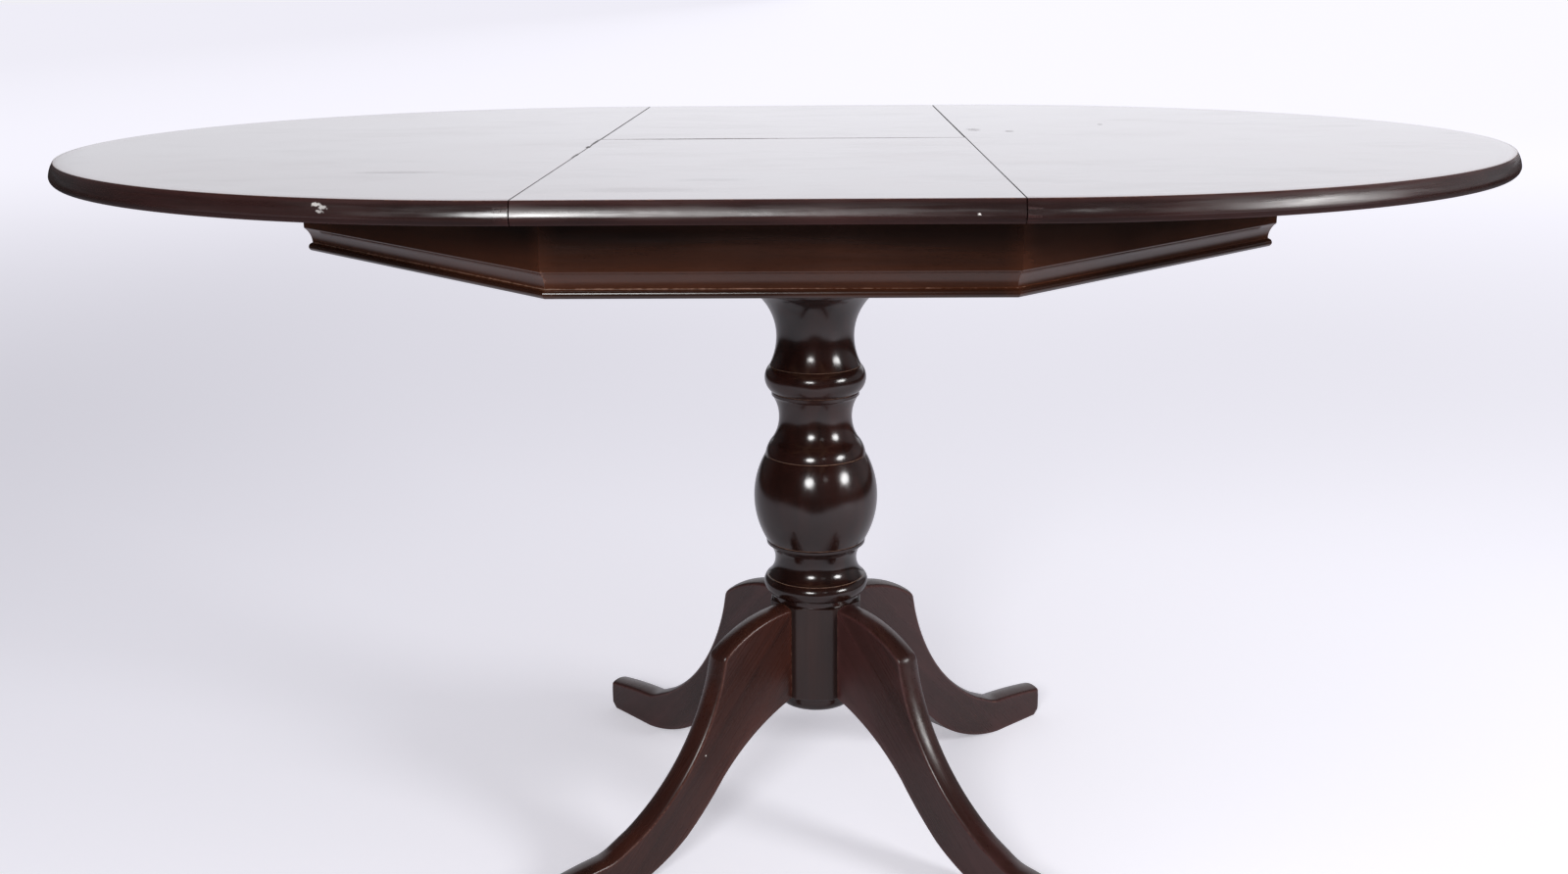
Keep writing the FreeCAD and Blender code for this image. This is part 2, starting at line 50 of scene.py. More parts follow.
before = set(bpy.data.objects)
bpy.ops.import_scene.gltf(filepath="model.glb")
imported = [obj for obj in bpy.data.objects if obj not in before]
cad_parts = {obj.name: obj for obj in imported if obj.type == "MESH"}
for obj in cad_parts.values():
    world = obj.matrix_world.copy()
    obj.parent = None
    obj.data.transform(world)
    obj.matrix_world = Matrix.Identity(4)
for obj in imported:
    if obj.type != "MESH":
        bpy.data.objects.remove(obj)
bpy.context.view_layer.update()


def linear(hex_colour):
    """An sRGB hex colour as linear red, green and blue."""
    srgb = np.array([int(hex_colour[place:place + 2], 16) / 255 for place in (1, 3, 5)])
    return tuple(np.where(srgb <= 0.04045, srgb / 12.92, ((srgb + 0.055) / 1.055) ** 2.4))


def length(name, default, description):
    return FloatProperty(name=name, description=description, default=default, min=0, unit="LENGTH",
                         precision=4)


def colour(name, hex_colour, description):
    return FloatVectorProperty(name=name, description=description, subtype="COLOR", size=3, min=0,
                               max=1, default=linear(hex_colour))


class TableSizes(bpy.types.PropertyGroup):
    """Sizes that a user would change."""

    table_height: length("Table height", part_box("left_half_top")[1].z, "Floor to the polished face")
    top_diameter: length("Top diameter", 1.067, "Across the flat of a half-top's polished face")
    top_thickness: length("Top thickness", 0.019, "Thickness of the half-tops and the leaf")
    leaf_width: length("Leaf width", 0.385, "Width of the folding leaf between the half-tops")
    seam_gap: length("Seam gap", 0.0008, "Gap between the leaf and each half-top")
    fold_gap: length("Fold gap", 0.0003, "Gap between the two halves of the leaf")
    edge_reach: length("Edge reach", 0.005, "How far the moulded edge bulges past the flat face")
    arris: length("Arris", 0.0007, "Radius that the sharp edges of the top are rubbed down to")
    seam_arris: length("Seam arris", 0.00025, "Size of the small bevels along the seams")
    fold_arris: length("Fold arris", 0.0009, "Size of the small bevels along the fold")
    barrel_radius: length("Barrel radius", 0.006, "Radius of a hinge barrel in the leaf")
    barrel_length: length("Barrel length", 0.022, "How deep a hinge barrel goes into the leaf")
    barrel_spacing: length("Barrel spacing", 0.15, "Distance between two hinge barrels")
    screw_radius: length("Screw radius", 0.0042, "Radius of a screw's head")
    frame_shift: length("Frame shift", 0.008, "How far the frame's middle stands right of the top's")
    frame_flats: length("Frame width", 0.928, "Across the eight-sided frame's flats")
    frame_top: length("Frame top", 0.7547, "Height of the frame's upper edge")
    frame_height: length("Frame height", 0.069, "Height of the frame's sides")
    frame_thickness: length("Frame thickness", 0.022, "Thickness of the frame's sides")
    fascia_height: length("Fascia height", 0.047, "Height of the plain part of a frame side")
    cove_height: length("Cove height", 0.0145, "Height of the hollow moulding")
    cove_depth: length("Cove depth", 0.0065, "Depth of the hollow moulding")
    quirk: length("Quirk", 0.0008, "Width of the step between cove and bead")
    bead_inset: length("Bead inset", 0.0028, "How far the bead stays behind the plain face")
    column_shift: length("Column shift", 0.034, "How far the column stands right of the top's middle")
    column_radius: length("Column radius", 0.0687, "Radius of the column's ball")
    column_top: length("Column top", 0.6657, "Height at which the column meets its top block")
    tenon_radius: length("Tenon radius", 0.025, "Radius of the column's tenon in the top block")
    tenon_height: length("Tenon height", 0.028, "Height of the column's tenon")
    block_flats: length("Leg block width", 0.1, "Across the eight-sided leg block's flats")
    block_floor: length("Leg block floor", 0.154, "Height of the leg block's underside")
    block_top: length("Leg block top", 0.263, "Height at which the turning starts")
    disc_radius: length("Disc radius", 0.044, "Radius of the turned disc under the leg block")
    disc_height: length("Disc height", 0.018, "Height of the turned disc")
    leg_reach: length("Leg reach", 0.386, "From the column's middle to the toe")
    leg_thickness: length("Leg thickness", 0.028, "Thickness of a leg")
    leg_crown: length("Leg crown", 0.004, "Rise of the leg's rounded upper side")
    toe_height: length("Toe height", 0.038, "Height of the toe")
    toe_chamfer: length("Toe chamfer", 0.007, "Size of the bevel under the toe")


class TableFinishes(bpy.types.PropertyGroup):
    """Colours that a user would change."""

    heartwood: colour("Heartwood", "#2a120d", "Dark bands of the mahogany")
    figure: colour("Figure", "#51241a", "Light red-brown bands of the mahogany")
    base_dark: colour("Base dark", "#150c0a", "Darkest stain of the column")
    base_warm: colour("Base warm", "#2f1712", "Warm parts of the column, where the stain is thin")
    leg_dark: colour("Leg dark", "#2a1713", "Darkest stain of the legs")
    leg_warm: colour("Leg warm", "#43221a", "Warm parts of the front left leg")
    leg_dull: colour("Leg dull", "#452826", "Paler parts of the other legs")
    edge_dark: colour("Edge dark", "#1a1110", "Darkest stain of the moulded edge")
    edge_warm: colour("Edge warm", "#3a211f", "Warm patches of the moulded edge")
    frame_dark: colour("Frame dark", "#130b09", "Darkest stain of the frame")
    frame_warm: colour("Frame warm", "#4a2717", "Warm bands of the frame's sides")
    bare_wood: colour("Bare wood", "#8c6450", "Wood where the polish is rubbed through")
    dust: colour("Dust", "#8b8478", "Old dust and wax in the grooves")
    paint: colour("Paint", "#d9d5d0", "Flecks of pale paint")
    plain_wood: colour("Plain wood", "#b08a5c", "Bare hardwood of the slides and bearers")
    brass: colour("Brass", "#c9a45a", "Turned brass of the hinges")
    floor: colour("Floor", "#f2f1f8", "Pale floor and backdrop")


# Surfaces


def bent(start, middle, end, count):
    """Points along the circle through three points. Its centre is where the perpendicular bisectors
    of the two chords meet, and the points stand at even angles round it."""
    start, middle, end = (np.asarray(point, float) for point in (start, middle, end))
    chords = np.array([middle - start, end - start])
    halves = np.array([(middle @ middle - start @ start) / 2, (end @ end - start @ start) / 2])
    centre = np.linalg.solve(chords, halves)
    rays = np.array([start, middle, end]) - centre
    angles = np.unwrap(np.arctan2(rays[:, 1], rays[:, 0]))
    turn = np.linspace(angles[0], angles[2], count + 1)
    return centre + np.linalg.norm(rays[0]) * np.stack([np.cos(turn), np.sin(turn)], axis=1)


def straight(start, end, count):
    """Points at even steps from start to end."""
    share = np.linspace(0, 1, count + 1)[:, None]
    return (1 - share) * np.asarray(start, float) + share * np.asarray(end, float)


def eased(corners, radius, steps=4):
    """A closed outline with each corner rubbed down: a parabola from one radius before the corner
    to one radius after it, (1 - t)^2 A + 2 t (1 - t) P + t^2 B for all corners at once."""
    corners = np.asarray(corners, float)
    before, after = np.roll(corners, 1, axis=0) - corners, np.roll(corners, -1, axis=0) - corners
    spans = [np.linalg.norm(side, axis=1, keepdims=True) for side in (before, after)]
    reach = np.minimum(radius, 0.45 * np.minimum(*spans))
    first, last = corners + before / spans[0] * reach, corners + after / spans[1] * reach
    t = np.linspace(0, 1, steps + 1)[None, :, None]
    curve = ((1 - t) ** 2 * first[:, None] + 2 * t * (1 - t) * corners[:, None]
             + t ** 2 * last[:, None])
    return curve.reshape(-1, 2)


def joined(*runs):
    """Runs of points end to end, each leaving out its first point where the last one ended."""
    return np.concatenate([runs[0]] + [run[1:] for run in runs[1:]])


def traced(start, *parts):
    """An outline from its start through its parts, each with its steps, the point that its curve
    passes, which is None for a straight one, and its end."""
    runs = []
    for steps, through, end in parts:
        runs.append(straight(start, end, steps) if through is None
                    else bent(start, through, end, steps))
        start = end
    return joined(*runs)


def bell(values, centre, width):
    """1 at the centre and close to 0 two widths away: exp(-((v - c) / w)^2)."""
    return np.exp(-((values - centre) / width) ** 2)


def rubbed(before, corner, after, radius, steps=4):
    """The curve that takes a corner's place when it is rubbed down, between two other points."""
    return eased([before, corner, after], radius, steps)[steps + 1:2 * steps + 2]


def grid(points, grain=None, worn=None, closed=False, caps=False):
    """A sheet of the skin: points in rows and columns, the same points laid along the wood's grain,
    and how worn each one is, from 0 to 1, or how dusty, from 1.1 to 1.9; on the frame's sides this
    also carries painted shade. closed joins the last column to the first, and caps close the
    first and last rows' loops."""
    points = np.asarray(points, float)
    grain = points if grain is None else np.broadcast_to(grain, points.shape)
    worn = np.zeros(points.shape[:2]) if worn is None else np.broadcast_to(worn, points.shape[:2])
    return points, grain, worn, closed, caps


# Points this near are one point, and edges this short are taken out, in metres
same_point, shortest_edge = 0.000002, 0.0000005


def skin(name, sheets, crease=32):
    """A mesh object from sheets. Each cell of a sheet's grid is one quad between two rows and two
    columns, sheets are joined where their points meet, and faces point outwards."""
    faces, start = [], 0
    for points, _, _, closed, caps in sheets:
        rows, columns = points.shape[:2]
        index = start + np.arange(rows * columns).reshape(rows, columns)
        ring = np.concatenate([index, index[:, :1]], axis=1) if closed else index
        faces += np.stack([ring[:-1, :-1], ring[:-1, 1:], ring[1:, 1:], ring[1:, :-1]],
                          axis=-1).reshape(-1, 4).tolist()
        if caps:
            faces += [index[0].tolist(), index[-1].tolist()]
        start += rows * columns
    mesh = bpy.data.meshes.new(name)
    mesh.from_pydata(np.concatenate([sheet[0].reshape(-1, 3) for sheet in sheets]).tolist(), [], faces)
    for title, kind, field, part in (("grain", "FLOAT_VECTOR", "vector", 1),
                                     ("worn", "FLOAT", "value", 2)):
        values = np.concatenate([sheet[part].ravel() for sheet in sheets])
        mesh.attributes.new(title, kind, "POINT").data.foreach_set(field, values)
    shell = bmesh.new()
    shell.from_mesh(mesh)
    bmesh.ops.remove_doubles(shell, verts=shell.verts, dist=same_point)
    bmesh.ops.dissolve_degenerate(shell, edges=shell.edges, dist=shortest_edge)
    bmesh.ops.recalc_face_normals(shell, faces=shell.faces)
    shell.to_mesh(mesh)
    shell.free()
    mesh.shade_smooth()
    mesh.set_sharp_from_angle(angle=math.radians(crease))
    piece = bpy.data.objects.new(name, mesh)
    bpy.context.scene.collection.objects.link(piece)
    return piece


def blunt(loop, centre, size):
    """A closed loop drawn in by size on all sides: each point moves towards the centre, by the
    share of the loop's half-width and half-height that size is."""
    half = np.abs(loop - centre).max(axis=0)
    return centre + (loop - centre) * (1 - size / half)


def bored(piece, holes):
    """Bores round holes, given as places and directions with their radius and depth, by cutting
    a copy of each drill out of the piece."""
    drill = bmesh.new()
    for place, direction, radius, depth in holes:
        aim = Vector(direction).to_track_quat("Z", "Y").to_matrix().to_4x4()
        bmesh.ops.create_cone(drill, cap_ends=True, segments=48, radius1=radius, radius2=radius,
                              depth=2 * depth, matrix=Matrix.Translation(place) @ aim)
    mesh = bpy.data.meshes.new("drill")
    drill.to_mesh(mesh)
    drill.free()
    tool = bpy.data.objects.new("drill", mesh)
    bpy.context.scene.collection.objects.link(tool)
    cut = piece.modifiers.new("bores", "BOOLEAN")
    cut.operation, cut.solver, cut.object = "DIFFERENCE", "EXACT", tool
    graph = bpy.context.evaluated_depsgraph_get()
    finished = bpy.data.meshes.new_from_object(piece.evaluated_get(graph),
                                               preserve_all_data_layers=True, depsgraph=graph)
    piece.modifiers.clear()
    piece.data = finished
    bpy.data.objects.remove(tool)


def dress(piece, material, slot, body, *nodes):
    """Gives a piece its finish and body, in place of the CAD nodes that it stands for."""
    piece.data.materials.append(material)
    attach(piece, body)
    if nodes:
        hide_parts(*nodes)


def spin(section, steps, centre):
    """A section of radius and height carried round an upright axis: x = r cos a, y = r sin a."""
    angle = np.linspace(0, 2 * np.pi, steps, endpoint=False)
    radius, level = section[:, :1], section[:, 1:]
    return np.stack([centre + radius * np.cos(angle), radius * np.sin(angle),
                     level + 0 * angle], axis=-1)


def carried(out, aside, up, turn, centre):
    """A shape carried round an upright axis, x = c + o cos t - s sin t and y = o sin t + s cos t,
    where o is how far out it stands and s how far aside."""
    return np.stack([centre + out * math.cos(turn) - aside * math.sin(turn),
                     out * math.sin(turn) + aside * math.cos(turn), up], axis=-1)


# Finishes

# A Mix node's inputs for colours: how much of the layer shows, what it lies on, and the layer
mask, ground, layer = 0, 6, 7


def add(tree, kind, inputs=None, **settings):
    """Adds a node with its settings. Its inputs are values, other nodes' outputs, or other nodes,
    each of which stands for its first output in use."""
    made = tree.nodes.new("ShaderNode" + kind)
    for name, setting in settings.items():
        setattr(made, name, setting)
    for name, entry in (inputs or {}).items():
        if isinstance(entry, bpy.types.Node):
            entry = next(output for output in entry.outputs if output.enabled)
        if isinstance(entry, bpy.types.NodeSocket):
            tree.links.new(entry, made.inputs[name])
        else:
            made.inputs[name].default_value = entry
    return made


def blank(name):
    """A material with nothing in it, and its node tree."""
    material = bpy.data.materials.new(name)
    material.use_nodes = True
    material.node_tree.nodes.clear()
    return material, material.node_tree


def rgba(tint, share=1.0):
    """A colour as a node takes it, darkened to a share of its brightness."""
    return (*(part * share for part in tint), 1.0)


def polished_mahogany(name, dark, warm, roughness, gloss=1.5, coat=0.0, wear=1.0, ripple=0.06,
                      flecks=0.0, blend=1.0, uneven=0.2, scars=()):
    """Mahogany that was stained, filled and french polished by hand, a long time ago.

    The eye gets dark red-brown bands a few centimetres wide that run with the grain, short dark
    pores, a clear skin with a slight ripple, faint rubbing marks, warmer wood where the polish
    is worn through on the sharp edges, pale dust in the grooves, and a few flecks of paint.
    gloss is the polish's refractive index, lower where it has gone dull, and coat how much a
    second, thick polish adds. blend is how much of the warm colour the bands bring, and uneven
    how much the gloss varies. scars are places, sizes and strengths of chips: above 0 they are
    pale, and below 0 they are dark burns and stains, and painted shade along the top's fold.
    """
    look = bpy.context.scene.table_finishes
    material, tree = blank(name)
    along = add(tree, "Attribute", attribute_name="grain").outputs["Vector"]
    worn = add(tree, "Attribute", attribute_name="worn").outputs["Fac"]
    # Bands: one every 22 mm across the grain, and each about 0.4 m long
    stretched = add(tree, "Mapping", {"Vector": along, "Scale": (2.5, 45, 45)})
    bands = add(tree, "TexNoise", {"Vector": stretched, "Scale": 1.0, "Detail": 5.0,
                                   "Roughness": 0.55, "Distortion": 0.4})
    # Stain lies thicker and thinner in patches about 0.15 m across
    cloud = add(tree, "TexNoise", {"Vector": along, "Scale": 7.0, "Detail": 3.0})
    shade = add(tree, "Math", {0: bands, 1: cloud}, operation="MULTIPLY")
    tone = add(tree, "MapRange", {"Value": shade, "From Min": 0.12, "From Max": 0.4,
                                  "To Max": blend})
    # Where hands and cloths have thinned the stain, the wood is warmer; on the frame's sides the
    # warmth also carries painted shade, lighter below the top's overhang
    thin = add(tree, "Math", {0: worn, 1: 0.9, 2: tone}, operation="MULTIPLY_ADD", use_clamp=True)
    body = add(tree, "Mix", {mask: thin, ground: rgba(dark), layer: rgba(warm)}, data_type="RGBA")
    # Pores: real ones are 0.2 mm wide and 3 mm long, drawn 0.7 mm wide so that they show
    fine = add(tree, "Mapping", {"Vector": along, "Scale": (120, 1400, 1400)})
    pores = add(tree, "TexNoise", {"Vector": fine, "Scale": 1.0, "Detail": 2.0})
    pit = add(tree, "MapRange", {"Value": pores, "From Min": 0.56, "From Max": 0.7, "To Max": 0.2})
    surface = add(tree, "Mix", {mask: pit, ground: body, layer: rgba(dark, 0.35)}, data_type="RGBA")
    # Wear breaks up into chips 3 to 8 mm long
    chips = add(tree, "TexNoise", {"Vector": along, "Scale": 170.0, "Detail": 4.0, "Roughness": 0.7})
    chipped = add(tree, "Math", {0: worn, 1: chips}, operation="MULTIPLY")
    bare = add(tree, "MapRange", {"Value": chipped, "From Min": 0.42, "From Max": 0.68,
                                  "To Max": 0.8 * wear})
    dusty = add(tree, "MapRange", {"Value": worn, "From Min": 1.1, "From Max": 1.9, "To Max": 0.7})
    # What lies over the stained wood: how much of it shows, and its colour
    covers = [(bare, rgba(look.bare_wood)), (dusty, rgba(look.dust))]
    if flecks:
        # Flecks of paint 1 to 2 mm wide, in a few of the cells, which are 18 mm wide
        cells = add(tree, "TexVoronoi", {"Vector": along, "Scale": 55.0}).outputs
        chance = add(tree, "SeparateXYZ", {0: cells["Color"]}).outputs["X"]
        rare = add(tree, "Math", {0: chance, 1: 1 - flecks}, operation="GREATER_THAN")
        small = add(tree, "Math", {0: cells["Distance"], 1: 0.055}, operation="LESS_THAN")
        fleck = add(tree, "Math", {0: rare, 1: small}, operation="MULTIPLY")
        covers.append((fleck, rgba(look.paint)))
    if scars:
        # A ragged patch: how near the place is, less a noise with grains of 2 mm
        place = add(tree, "TexCoord").outputs["Object"]
        ragged = add(tree, "TexNoise", {"Vector": place, "Scale": 420.0, "Detail": 3.0})
    for spot, size, strength in scars:
        away = add(tree, "VectorMath", {0: place, 1: spot}, operation="SUBTRACT")
        spread = add(tree, "VectorMath", {0: away, 1: [1 / extent for extent in size]},
                     operation="MULTIPLY")
        distance = add(tree, "VectorMath", {0: spread}, operation="LENGTH")
        edge = add(tree, "Math", {0: ragged, 1: 1.6, 2: distance}, operation="MULTIPLY_ADD")
        patch = add(tree, "MapRange", {"Value": edge, "From Min": 1.5, "From Max": 1.2,
                                       "To Max": abs(strength)})
        covers.append((patch, rgba(look.paint) if strength > 0 else rgba(dark, 0.4)))
    dulled = 0.0
    for cover, tint in covers:
        surface = add(tree, "Mix", {mask: cover, ground: surface, layer: tint}, data_type="RGBA")
        dulled = add(tree, "Math", {0: dulled, 1: cover}, operation="MAXIMUM")
    # Rubbing marks: streaks 2 mm wide that dull the gloss a little
    rub = add(tree, "Mapping", {"Vector": along, "Scale": (14, 300, 300)})
    marks = add(tree, "TexNoise", {"Vector": rub, "Scale": 1.0, "Detail": 3.0})
    patchy = add(tree, "Math", {0: marks, 1: cloud})
    dull = add(tree, "MapRange", {"Value": patchy, "From Min": 0.7, "From Max": 1.3,
                                  "To Min": roughness * (1 - uneven),
                                  "To Max": roughness * (1 + uneven)})
    rough = add(tree, "Math", {0: dulled, 1: 0.5, 2: dull}, operation="MULTIPLY_ADD")
    # The polish ripples over 15 mm, and sinks a little into the pores
    waves = add(tree, "TexNoise", {"Vector": along, "Scale": 65.0, "Detail": 1.0})
    relief = add(tree, "Math", {0: pores, 1: 0.07, 2: waves}, operation="MULTIPLY_ADD")
    bump = add(tree, "Bump", {"Height": relief, "Strength": ripple, "Distance": 0.002})
    if coat:
        # Fingers and cloths leave smears 30 mm wide, where the top mirrors a little less
        smears = add(tree, "Mapping", {"Vector": along, "Scale": (8, 15, 15)})
        smear = add(tree, "TexNoise", {"Vector": smears, "Scale": 1.0, "Detail": 5.0,
                                       "Roughness": 0.6})
        kept = add(tree, "MapRange", {"Value": smear, "From Min": 0.5, "From Max": 0.72,
                                      "To Min": coat, "To Max": coat * 0.88})
        clean = add(tree, "Math", {0: 1.0, 1: dulled}, operation="SUBTRACT")
        coat = add(tree, "Math", {0: kept, 1: clean}, operation="MULTIPLY")
    shader = add(tree, "BsdfPrincipled",
                 {"Base Color": surface, "Roughness": rough, "IOR": gloss, "Normal": bump,
                  "Coat Weight": coat, "Coat Roughness": 0.07, "Coat IOR": 1.7})
    add(tree, "OutputMaterial", {0: shader})
    return material


def planed_hardwood(name, wood, across):
    """Beech, planed and left bare, as under any table.

    The eye gets a dry pale tan with fine flecks and streaks along the grain, and no gloss.
    across is true where the grain runs along Y, and false where it runs along X.
    """
    material, tree = blank(name)
    place = add(tree, "TexCoord").outputs["Object"]
    # Streaks 4 mm wide and 0.2 m long, and flecks 1 mm wide and 6 mm long
    patterns = []
    for wide, long in ((260, 5), (1000, 160)):
        scale = (wide, long, wide) if across else (long, wide, wide)
        laid = add(tree, "Mapping", {"Vector": place, "Scale": scale})
        patterns.append(add(tree, "TexNoise", {"Vector": laid, "Scale": 1.0, "Detail": 4.0}))
    streaks, flecks = patterns
    tone = add(tree, "MapRange", {"Value": streaks, "From Min": 0.3, "From Max": 0.7})
    body = add(tree, "Mix", {mask: tone, ground: rgba(wood, 0.62), layer: rgba(wood)},
               data_type="RGBA")
    fleck = add(tree, "MapRange", {"Value": flecks, "From Min": 0.58, "From Max": 0.7,
                                   "To Max": 0.5})
    surface = add(tree, "Mix", {mask: fleck, ground: body, layer: rgba(wood, 0.45)},
                  data_type="RGBA")
    bump = add(tree, "Bump", {"Height": flecks, "Strength": 0.15, "Distance": 0.001})
    shader = add(tree, "BsdfPrincipled", {"Base Color": surface, "Roughness": 0.62, "IOR": 1.5,
                                          "Normal": bump})
    add(tree, "OutputMaterial", {0: shader})
    return material


def turned_brass(name, brass):
    """Brass turned on a lathe and tarnished: a warm yellow metal with a dull brown bloom."""
    material, tree = blank(name)
    place = add(tree, "TexCoord").outputs["Object"]
    # Tarnish in patches 4 mm across
    bloom = add(tree, "TexNoise", {"Vector": place, "Scale": 250.0, "Detail": 3.0})
    stain = add(tree, "MapRange", {"Value": bloom, "From Min": 0.4, "From Max": 0.7, "To Max": 0.6})
    surface = add(tree, "Mix", {mask: stain, ground: rgba(brass), layer: rgba(brass, 0.4)},
                  data_type="RGBA")
    rough = add(tree, "MapRange", {"Value": bloom, "To Min": 0.22, "To Max": 0.5})
    shader = add(tree, "BsdfPrincipled", {"Base Color": surface, "Metallic": 1.0, "Roughness": rough})
    add(tree, "OutputMaterial", {0: shader})
    return material


# Places, sizes along x, y and z, and strengths of the chips and stains that the top has, in
# metres, and the height of its polished face. The two long dark lines along the fold are painted shade
polished = 0.774
edge_scars = (((-0.344, -0.5155, 0.7695), (0.006, 0.006, 0.003), 0.75),
              ((-0.338, -0.518, 0.7675), (0.007, 0.006, 0.0025), 0.6),
              ((-0.341, -0.519, 0.7645), (0.006, 0.006, 0.0022), 0.5),
              ((0.158, -0.538, 0.7625), (0.0022, 0.004, 0.0016), 1.0))
top_scars = (((-0.1935, -0.09, polished), (0.004, 0.022, 0.003), -1.0),
             ((-0.1935, -0.03, polished), (0.0026, 0.06, 0.003), -1.0),
             ((-0.1935, -0.18, polished), (0.0024, 0.04, 0.003), -0.9),
             # Painted shade: a dark line along the fold between the leaf's halves, fainter on the right
             ((-0.08, 0.0, polished), (0.16, 0.009, 0.004), -0.8),
             ((0.08, 0.0, polished), (0.16, 0.007, 0.004), -0.5),
             ((0.21, 0.1, polished), (0.012, 0.03, 0.003), -0.35),
             ((0.247, 0.075, polished), (0.008, 0.008, 0.003), -0.8),
             ((0.3606, 0.1647, polished), (0.005, 0.006, 0.003), -0.9),
             ((-0.328, -0.327, polished), (0.06, 0.016, 0.003), -0.2),
             ((-0.1, -0.47, polished), (0.08, 0.03, 0.003), -0.12),
             ((-0.05, -0.4, polished), (0.05, 0.02, 0.003), -0.1))

# Each finish: what makes it, its material's name, its colours and its settings
recipes = {
    "top": (polished_mahogany, "french_polished_mahogany_top", ("heartwood", "figure"),
            dict(roughness=0.14, coat=1.0, wear=0.8, scars=top_scars)),
    "edge": (polished_mahogany, "stained_mahogany_edge", ("edge_dark", "edge_warm"),
             dict(roughness=0.28, gloss=1.55, wear=0.9, flecks=0.05, blend=0.8, uneven=0.6,
                  scars=edge_scars)),
    "edge_low": (polished_mahogany, "dull_mahogany_edge", ("edge_dark", "edge_warm"),
                 dict(roughness=0.6, gloss=1.2, wear=0.9, blend=0.7)),
    "frame": (polished_mahogany, "polished_mahogany_frame", ("frame_dark", "frame_warm"),
              dict(roughness=0.21, gloss=1.45, ripple=0.03, blend=0.38)),
    "turned": (polished_mahogany, "ebonised_mahogany_turning", ("base_dark", "base_warm"),
               dict(roughness=0.17, ripple=0.03, flecks=0.01)),
    "block": (polished_mahogany, "dull_mahogany_block", ("base_dark", "base_warm"),
              dict(roughness=0.5, ripple=0.1, flecks=0.06)),
    "warm_leg": (polished_mahogany, "stained_mahogany_front_leg", ("leg_dark", "leg_warm"),
                 dict(roughness=0.27, gloss=1.42, wear=0.5, flecks=0.04, blend=0.85)),
    "leg": (polished_mahogany, "dark_stained_mahogany_legs", ("leg_dark", "leg_dull"),
            dict(roughness=0.3, gloss=1.42, wear=0.5, flecks=0.04, blend=0.9)),
    "wood_x": (planed_hardwood, "planed_beech_lengthwise", ("plain_wood",), dict(across=False)),
    "wood_y": (planed_hardwood, "planed_beech_crosswise", ("plain_wood",), dict(across=True)),
    "brass": (turned_brass, "turned_brass", ("brass",), {}),
}
finishes = {}


def finish_of(name):
    """The named finish, made when it is first asked for."""
    if name not in finishes:
        look = bpy.context.scene.table_finishes
        maker, title, tints, settings = recipes[name]
        finishes[name] = maker(title, *(getattr(look, tint) for tint in tints), **settings)
    return finishes[name]


# The moulded edge: shares of its reach past the flat top, and of the top's thickness
upper_edge_shares = ((0, 0), (0.64, 0.316), (1, 0.658))
lower_edge_shares = ((1, 0.658), (0.86, 0.846), (0.3, 1))


def moulded_edge(sizes):
    """The edge's outline from the polished face down to the underside, as distance past the flat
    face's rim and height: a small rubbed arris, a long bulge, and a short curve back below."""
    scale = np.array([sizes.edge_reach, -sizes.top_thickness])
    upper = bent(*(np.array(upper_edge_shares) * scale), 12)
    lower = bent(*(np.array(lower_edge_shares) * scale), 8)
    # The arris lies between the flat face and the bulge, and takes up the bulge's first points
    arris = rubbed((-0.01, 0), upper[0], upper[2], sizes.arris)
    return joined(arris, upper[3:], lower)


def more_finish(piece, finish, chosen):
    """Gives a finish to the faces for which chosen, from their normals and middles, is true."""
    piece.data.materials.append(finish_of(finish))
    count = len(piece.data.polygons)
    normals, middles, slots = np.empty(3 * count), np.empty(3 * count), np.empty(count, np.int32)
    piece.data.polygons.foreach_get("normal", normals)
    piece.data.polygons.foreach_get("center", middles)
    piece.data.polygons.foreach_get("material_index", slots)
    picked = chosen(normals.reshape(-1, 3), middles.reshape(-1, 3))
    slots = np.where(picked, len(piece.data.materials) - 1, slots)
    piece.data.polygons.foreach_set("material_index", slots.astype(np.int32))


# How far a face of the edge may look up or down, and how far down one without polish looks, as
# the upward part of its normal
edge_limit, under_limit = 0.93, -0.2


def stands_up(normals, middles):
    """The faces of the moulded edge, which takes a darker stain than the flat top."""
    return np.abs(normals[:, 2]) < edge_limit


def turned_under(normals, middles):
    """The underside, and the moulded edge below its widest part, which were never polished."""
    return normals[:, 2] < under_limit


def dress_top(piece, body, node):
    """Gives a part of the top its polish, the stain of its edge and its dull underside."""
    dress(piece, finish_of("top"), "polished_top", body, node)
    more_finish(piece, "edge", stands_up)
    more_finish(piece, "edge_low", turned_under)


def arris_wear(level, sizes):
    """Wear across the moulded edge: full at the upper arris, little on the bulge, half at the foot."""
    down = -level / sizes.top_thickness
    return bell(down, 0, 0.05) + 0.6 * bell(down, 1, 0.06) + 0.1 * bell(down, 0.7, 0.12)


# Rings on a half-top's flat faces as shares of its radius, and rows on the leaf's in metres
ring_shares = (0, 0.3, 0.6, 0.8, 0.92, 0.975)
leaf_rows = (0.1, 0.25, 0.4, 0.5, 0.527)
rim_steps, leaf_steps = 144, 32
# Wear from the seam's rim to its middle, and from the fold's face over its rim
seam_wear, fold_wear = (0.75, 0.3, 0), (0.3, 0.5, 0.5)
# Two faces of the top that meet at more than this many degrees have a sharp edge between them
top_crease = 40


